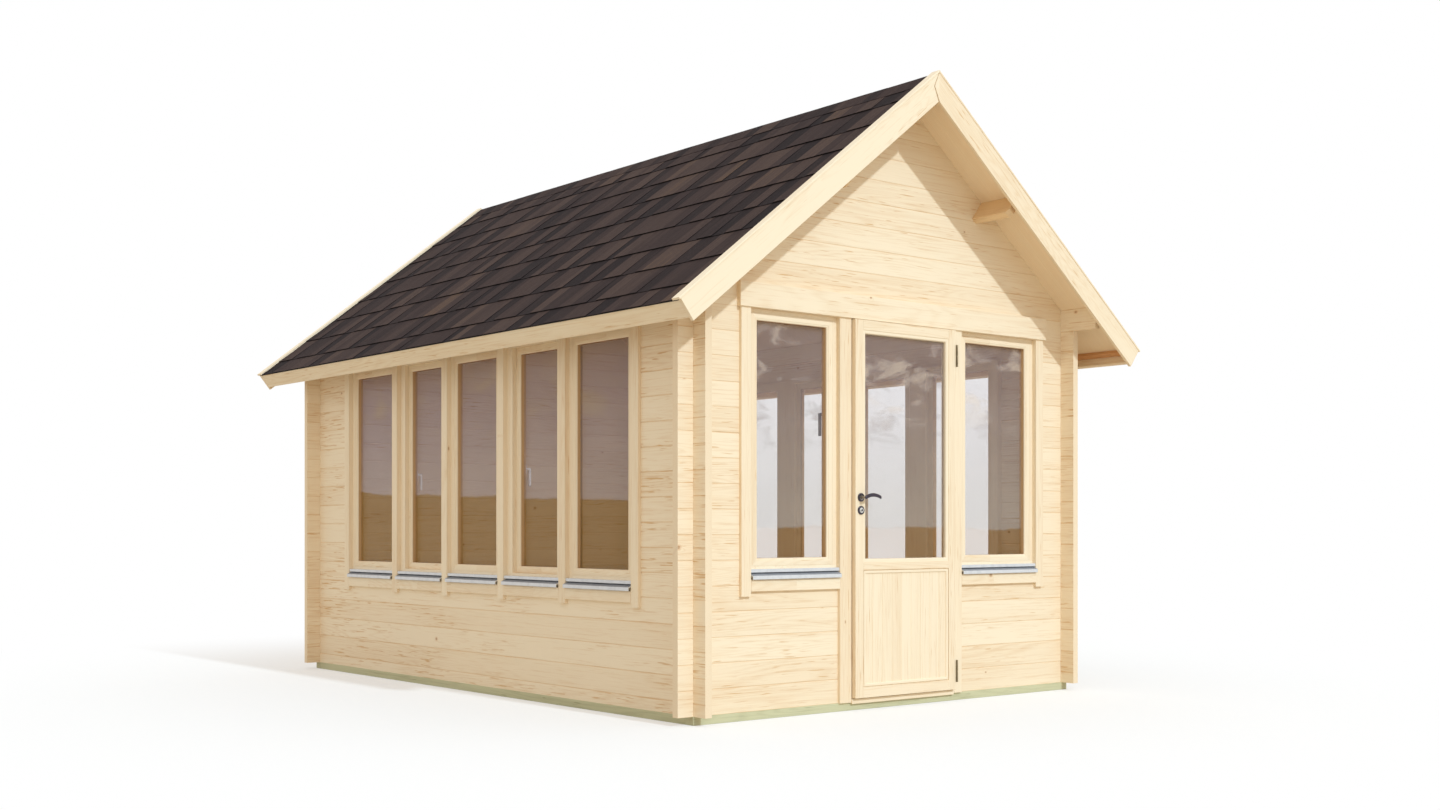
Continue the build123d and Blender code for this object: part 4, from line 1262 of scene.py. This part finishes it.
@dataclass
class Roof:
    """Soffit planks and laminated shingles on both slopes."""

    deck: float = 2.490
    board_run: float = 2.280
    board: float = 0.019
    plank: float = 0.0958
    groove: float = 0.0006
    exposure: float = 0.267
    eave: float = 2.305
    unit: float = 0.128
    tuck: float = 0.030
    base_lift: float = 0.0192
    raised: float = 0.0092
    recessed: float = 0.0052
    ridge_run: float = 0.120
    cap_cover: float = 0.037
    barge_run: float = 2.300
    barge_low: float = -0.104
    barge_high: float = 0.025
    seam: float = 0.0030
    cap_run: float = 2.308
    cap_lip: float = 0.0035
    cap_top: float = 0.037

    def build_planks(self, side: int, hand: str) -> None:
        """Make the roof boards of one slope as planks from ridge to eave, with chamfers in the soffit.

        Each plank's outline lies across the slope; its upper end is cut on the ridge's upright plane, where the
        run is minus the lift times the pitch's tangent.

        Args:
            side: -1 for the left slope, 1 for the right.
            hand: The slope's name.
        """
        count = round(2.0 * self.deck / self.plank)
        edges = np.linspace(-self.deck, self.deck, count + 1)
        y = edges[np.arange(count)[:, None] + [0, 0, 1, 1, 1, 0]]
        y = y + np.array([0.0, self.groove, -self.groove, 0.0, 0.0, 0.0])
        lift = np.array([self.groove, 0.0, 0.0, self.groove, self.board, self.board])
        planks = prisms(slope_points(run, lift, side, y) for run in (-lift * math.tan(PITCH), self.board_run))
        courses = Courses(1, -self.deck, 2.0 * self.deck / count)
        tones = {"pale": srgb(255, 237, 207), "warm": srgb(236, 196, 147)}
        finish = SpruceFinish(f"roof_planks_{hand}", Grain.DOWN_SLOPE, courses, seed=101.0, contrast=0.45, **tones)
        make_piece(f"soffit_planks_{hand}", [planks], [finish], [f"roof_boards_{hand}"])

    def tabs(self, rng: np.random.Generator) -> tuple[np.ndarray, np.ndarray, np.ndarray, np.ndarray]:
        """Lay one course of tabs: runs of raised units between single recessed ones.

        Args:
            rng: The seeded source of chance.

        Returns:
            Each unit's start and end along the deck, whether it is raised, and its tone.
        """
        count = int(2.0 * self.deck / self.unit) + 4
        edges = -self.deck - self.unit * (1.0 + rng.random()) + self.unit * np.arange(count + 1)
        gaps = np.cumsum(rng.choice([2, 3, 4, 5, 6], size=count, p=[0.28, 0.28, 0.22, 0.14, 0.08]))
        up = ~np.isin(np.arange(count), gaps)
        edges[1:-1] += rng.uniform(-0.040, 0.040, count - 1)
        edges = np.clip(edges, -self.deck, self.deck)
        tone = np.where(up, rng.normal(0.50, 0.15, count), rng.normal(0.10, 0.08, count))
        tone = np.where(up & (rng.random(count) < 0.05), rng.uniform(0.72, 0.86, count), tone)
        kept = edges[1:] - edges[:-1] > 0.004
        return edges[:-1][kept], edges[1:][kept], up[kept], np.clip(tone[kept], 0.02, 1.0)

    def wedges(
        self, run: np.ndarray, lift: np.ndarray, side: int, ends: Sequence[np.ndarray], tone: np.ndarray
    ) -> Shell:
        """Return tabs by their sections down the slope and their two ends, with the butts in the edge's finish."""
        return prisms((slope_points(run, lift, side, end[:, None]) for end in ends), tone, (0, 1, 0, 0))

    def finish_tabs(self, name: str, where: str, shells: Sequence[Shell], replaced: str) -> None:
        """Make a piece of tabs with granules on the faces, and butt edges darkened as asphalt and painted shade."""
        face, edge = ShingleFinish(f"{where}_granules"), ShingleFinish(f"{where}_edges", **BUTT_EDGE_AND_SHADE_TONES)
        make_piece(name, shells, (face, edge), [replaced])

    def build_shingles(self, side: int, hand: str) -> None:
        """Make the shingles of one slope, course by course, each unit tucked under the course above.

        A unit's section down the slope is a wedge: its top falls from the tucked end's lift to the butt's, and
        its underside lies on the boards.

        Args:
            side: -1 for the left slope, 1 for the right.
            hand: The slope's name.
        """
        rng = np.random.default_rng(14 if side < 0 else 27)
        butts = np.append(self.exposure * np.arange(1, 9), self.eave)
        shells = []
        for course, butt in enumerate(butts):
            start, end, up, tone = self.tabs(rng)
            wobble = rng.uniform(-0.0012, 0.0012, len(start))
            foot = np.full(len(start), butt) + (wobble if course < len(butts) - 1 else 0.0)
            head = np.full(len(start), max(butts[course - 1] - self.tuck, 0.0))
            low = np.full(len(start), self.base_lift)
            run = np.stack([head, foot, foot, head], 1)
            lift = np.stack([low + 0.0014, low + np.where(up, self.raised, self.recessed), low, low], 1)
            if course == 0:
                run[:, [0, 3]] = -lift[:, [0, 3]] * math.tan(PITCH)
            shells.append(self.wedges(run, lift, side, (start, end), tone))
            shells[-1].finishes[1][:] = 1
        self.finish_tabs(f"shingle_tabs_{hand}", f"shingle_{hand}", shells, f"shingles_{hand}")

    def build_ridge(self) -> None:
        """Fold a row of tabs over the ridge, each a thin body that runs down one slope."""
        rng = np.random.default_rng(5)
        reach = self.deck - self.cap_cover
        shells = []
        for side in (-1, 1):
            start, end, _, tone = self.tabs(rng)
            start, end = np.clip(start, -reach, reach), np.clip(end, -reach, reach)
            kept = end - start > 0.004
            start, end, tone = start[kept], end[kept], tone[kept]
            lift = np.tile(np.array([0.0268, 0.0268, 0.0246, 0.0246]), (len(start), 1))
            lift[:, :2] -= rng.uniform(0.0, 0.0010, (len(start), 1))
            run = np.full(lift.shape, self.ridge_run)
            run[:, [0, 3]] = -lift[:, [0, 3]] * math.tan(PITCH)
            shells.append(self.wedges(run, lift, side, (start, end), tone * 0.8 + 0.08))
        self.finish_tabs("ridge_tabs", "ridge", shells, "ridge_strip")

    def build_barges(self, end: str, front: float, back: float, kink: float) -> None:
        """Make a gable's two barge boards, which meet at the ridge in a kinked seam, and their caps.

        Args:
            end: The gable's name.
            front: Where the boards start along the building.
            back: Where they end.
            kink: How far the seam's middle stands to the right of the ridge.
        """
        low, high, gap = self.barge_low, self.barge_high, self.seam
        top, foot = SOFFIT_APEX + high / math.cos(PITCH), SOFFIT_APEX + low / math.cos(PITCH)
        shells = []
        for side in (-1, 1):
            eave = [slope_xz(self.barge_run, lift, side) for lift in (low, high)]
            seam = [(side * gap * 0.6, top), (kink + side * gap, (top + foot) / 2.0)]
            outline = np.array([(side * gap * 1.5, foot), *eave, *seam], float)
            shells.append(prisms(np.insert(outline, 1, at, axis=1)[None] for at in (front, back)))
        whole = Courses(0, -4.0, 4.0)
        finish = SpruceFinish(f"spruce_barge_{end}", Grain.DOWN_SLOPE, whole, seed=12.0, knots=0.05, contrast=0.4)
        replaced = [f"{end}_barge_left", f"{end}_barge_right"]
        make_piece(f"barge_boards_{end}", shells, [finish], replaced, bevel=0.0018)
        self.build_caps(end, front if end == "front" else back, finish)

    def build_caps(self, end: str, face: float, finish: Finish) -> None:
        """Make the cap strips on a gable's barge boards, chamfered along their outer edges.

        Each strip's outline across the slope runs from the ridge's upright plane to just past the eave.

        Args:
            end: The gable's name.
            face: Where the barge boards' outer face is along the building.
            finish: The boards' finish.
        """
        outward = -1.0 if end == "front" else 1.0
        inner, outer = outward * (self.deck - self.cap_cover), face + outward * self.cap_lip
        low, high, edge = self.barge_high, self.cap_top, 0.0022
        y = np.array([inner, inner, outer - outward * edge, outer, outer, outer - outward * edge])
        lift = np.array([low, high, high, high - edge, low + edge, low])
        runs = (0.0005 / math.cos(PITCH) - lift * math.tan(PITCH), self.cap_run)
        shells = [prisms(slope_points(run, lift, side, y)[None] for run in runs) for side in (-1, 1)]
        make_piece(f"verge_caps_{end}", shells, [finish], [f"{end}_caps"])

    def build(self) -> None:
        """Make both slopes, the ridge and the barge boards."""
        for side, hand in ((-1, "left"), (1, "right")):
            self.build_planks(side, hand)
            self.build_shingles(side, hand)
        self.build_ridge()
        self.build_barges("front", -2.510, -2.490, -0.038)
        self.build_barges("back", 2.490, 2.510, 0.038)


@dataclass
class Floor:
    """The inside floor of planks laid from front to back."""

    plank: float = 0.112
    chamfer: float = 0.0018

    def build(self) -> None:
        """Make the planks: each outline lies across the room, with both upper edges chamfered."""
        room = solids("floor_boards")[0]
        count = round((room.right - room.left) / self.plank)
        edges = np.linspace(room.left, room.right, count + 1)
        x = edges[np.arange(count)[:, None] + [0, 1, 1, 1, 0, 0]]
        x = x + np.array([0.0, 0.0, 0.0, -self.chamfer, self.chamfer, 0.0])
        shoulder = room.top - self.chamfer
        z = np.array([room.base, room.base, shoulder, room.top, room.top, shoulder])
        planks = prisms(np.stack(np.broadcast_arrays(x, y, z), -1) for y in (room.front, room.back))
        courses = Courses(0, room.left, (room.right - room.left) / count)
        finish = SpruceFinish("floor_planks", Grain.ALONG_Y, courses, seed=120.0, contrast=0.6)
        make_piece("laid_floor_planks", [planks], [finish], ["floor_boards"])


@dataclass
class Studio:
    """Camera, plain light and plain pale floor."""

    camera_place: tuple[float, float, float] = (-6.6016, -8.6643, 1.0134)
    camera_turn: float = -39.2
    lens: float = 40.0
    shift: float = 0.0861
    sun_height: float = 35.5
    sun_strength: float = 1.45
    sun_colour: Colour = (0.89, 1.06, 1.19)
    sky: Colour = (0.81, 0.785, 0.745)
    bounce: Colour = (0.625, 0.56, 0.455)
    floor_reach: float = 60.0
    floor_drop: float = 0.0005

    def set_camera(self) -> None:
        """Stand the camera where the photograph was taken from."""
        data = bpy.data.cameras.new("camera")
        data.lens, data.sensor_width, data.shift_y, data.clip_end = self.lens, 36.0, self.shift, 500.0
        camera = bpy.data.objects.new("camera", data)
        camera.location = self.camera_place
        camera.rotation_euler = (math.radians(90.0), 0.0, math.radians(self.camera_turn))
        bpy.context.scene.collection.objects.link(camera)
        bpy.context.scene.camera = camera

    def set_light(self) -> None:
        """Light the front with a soft sun and all sides with an even sky, white where the eye meets it."""
        data = bpy.data.lights.new("sun", "SUN")
        data.energy, data.angle, data.color = self.sun_strength, math.radians(2.0), self.sun_colour
        sun = bpy.data.objects.new("sun", data)
        sun.rotation_euler = (math.radians(90.0 - self.sun_height), 0.0, 0.0)
        bpy.context.scene.collection.objects.link(sun)
        world = bpy.data.worlds.new("studio")
        bpy.context.scene.world = world
        graph = Graph(world)
        tone = graph.blend(graph.seen(), self.sky, (1.0, 1.0, 1.0))
        background = graph.wire(graph.node("ShaderNodeBackground", values={"Color": tone}))
        graph.node("ShaderNodeOutputWorld", values={"Surface": background})

    def lay_floor(self) -> None:
        """Lay a pale floor that keeps the shadow near the object and turns white far from it."""
        reach, level = self.floor_reach, -self.floor_drop
        corners = [(-reach, -reach, level), (reach, -reach, level), (reach, reach, level), (-reach, reach, level)]
        mesh = bpy.data.meshes.new("studio_floor")
        mesh.from_pydata(corners, [], [(0, 1, 2, 3)])
        graph = Graph.of_material("pale_floor")
        x, y, _ = graph.axes()
        away = (x * x + y * y).math("SQRT")
        seen = graph.seen()
        tone = graph.blend(seen, self.bounce, (0.96, 0.96, 0.96))
        matt = graph.wire(graph.node("ShaderNodeBsdfDiffuse", values={"Color": tone}))
        white = graph.wire(graph.node("ShaderNodeEmission", values={"Strength": 1.0}))
        share = seen * (0.35 + graph.rise(away, 2.8, 6.0) * 0.65)
        mixed = graph.node("ShaderNodeMixShader", values={0: share, 1: matt, 2: white})
        mesh.materials.append(graph.close(graph.wire(mixed)))
        floor = bpy.data.objects.new("studio_floor", mesh)
        bpy.context.scene.collection.objects.link(floor)

    def build(self) -> None:
        """Set up the studio."""
        bpy.context.scene.view_settings.view_transform = "Standard"
        self.set_camera()
        self.set_light()
        self.lay_floor()
        log.info("studio: camera, sun, sky and floor")


def main() -> None:
    """Build the scene in order."""
    logging.basicConfig(level=logging.INFO, format="%(name)s %(message)s")
    for assembly in (Studio, Timbers, Windows, Door, Roof, Floor):
        assembly().build()


if __name__ == "__main__":
    main()
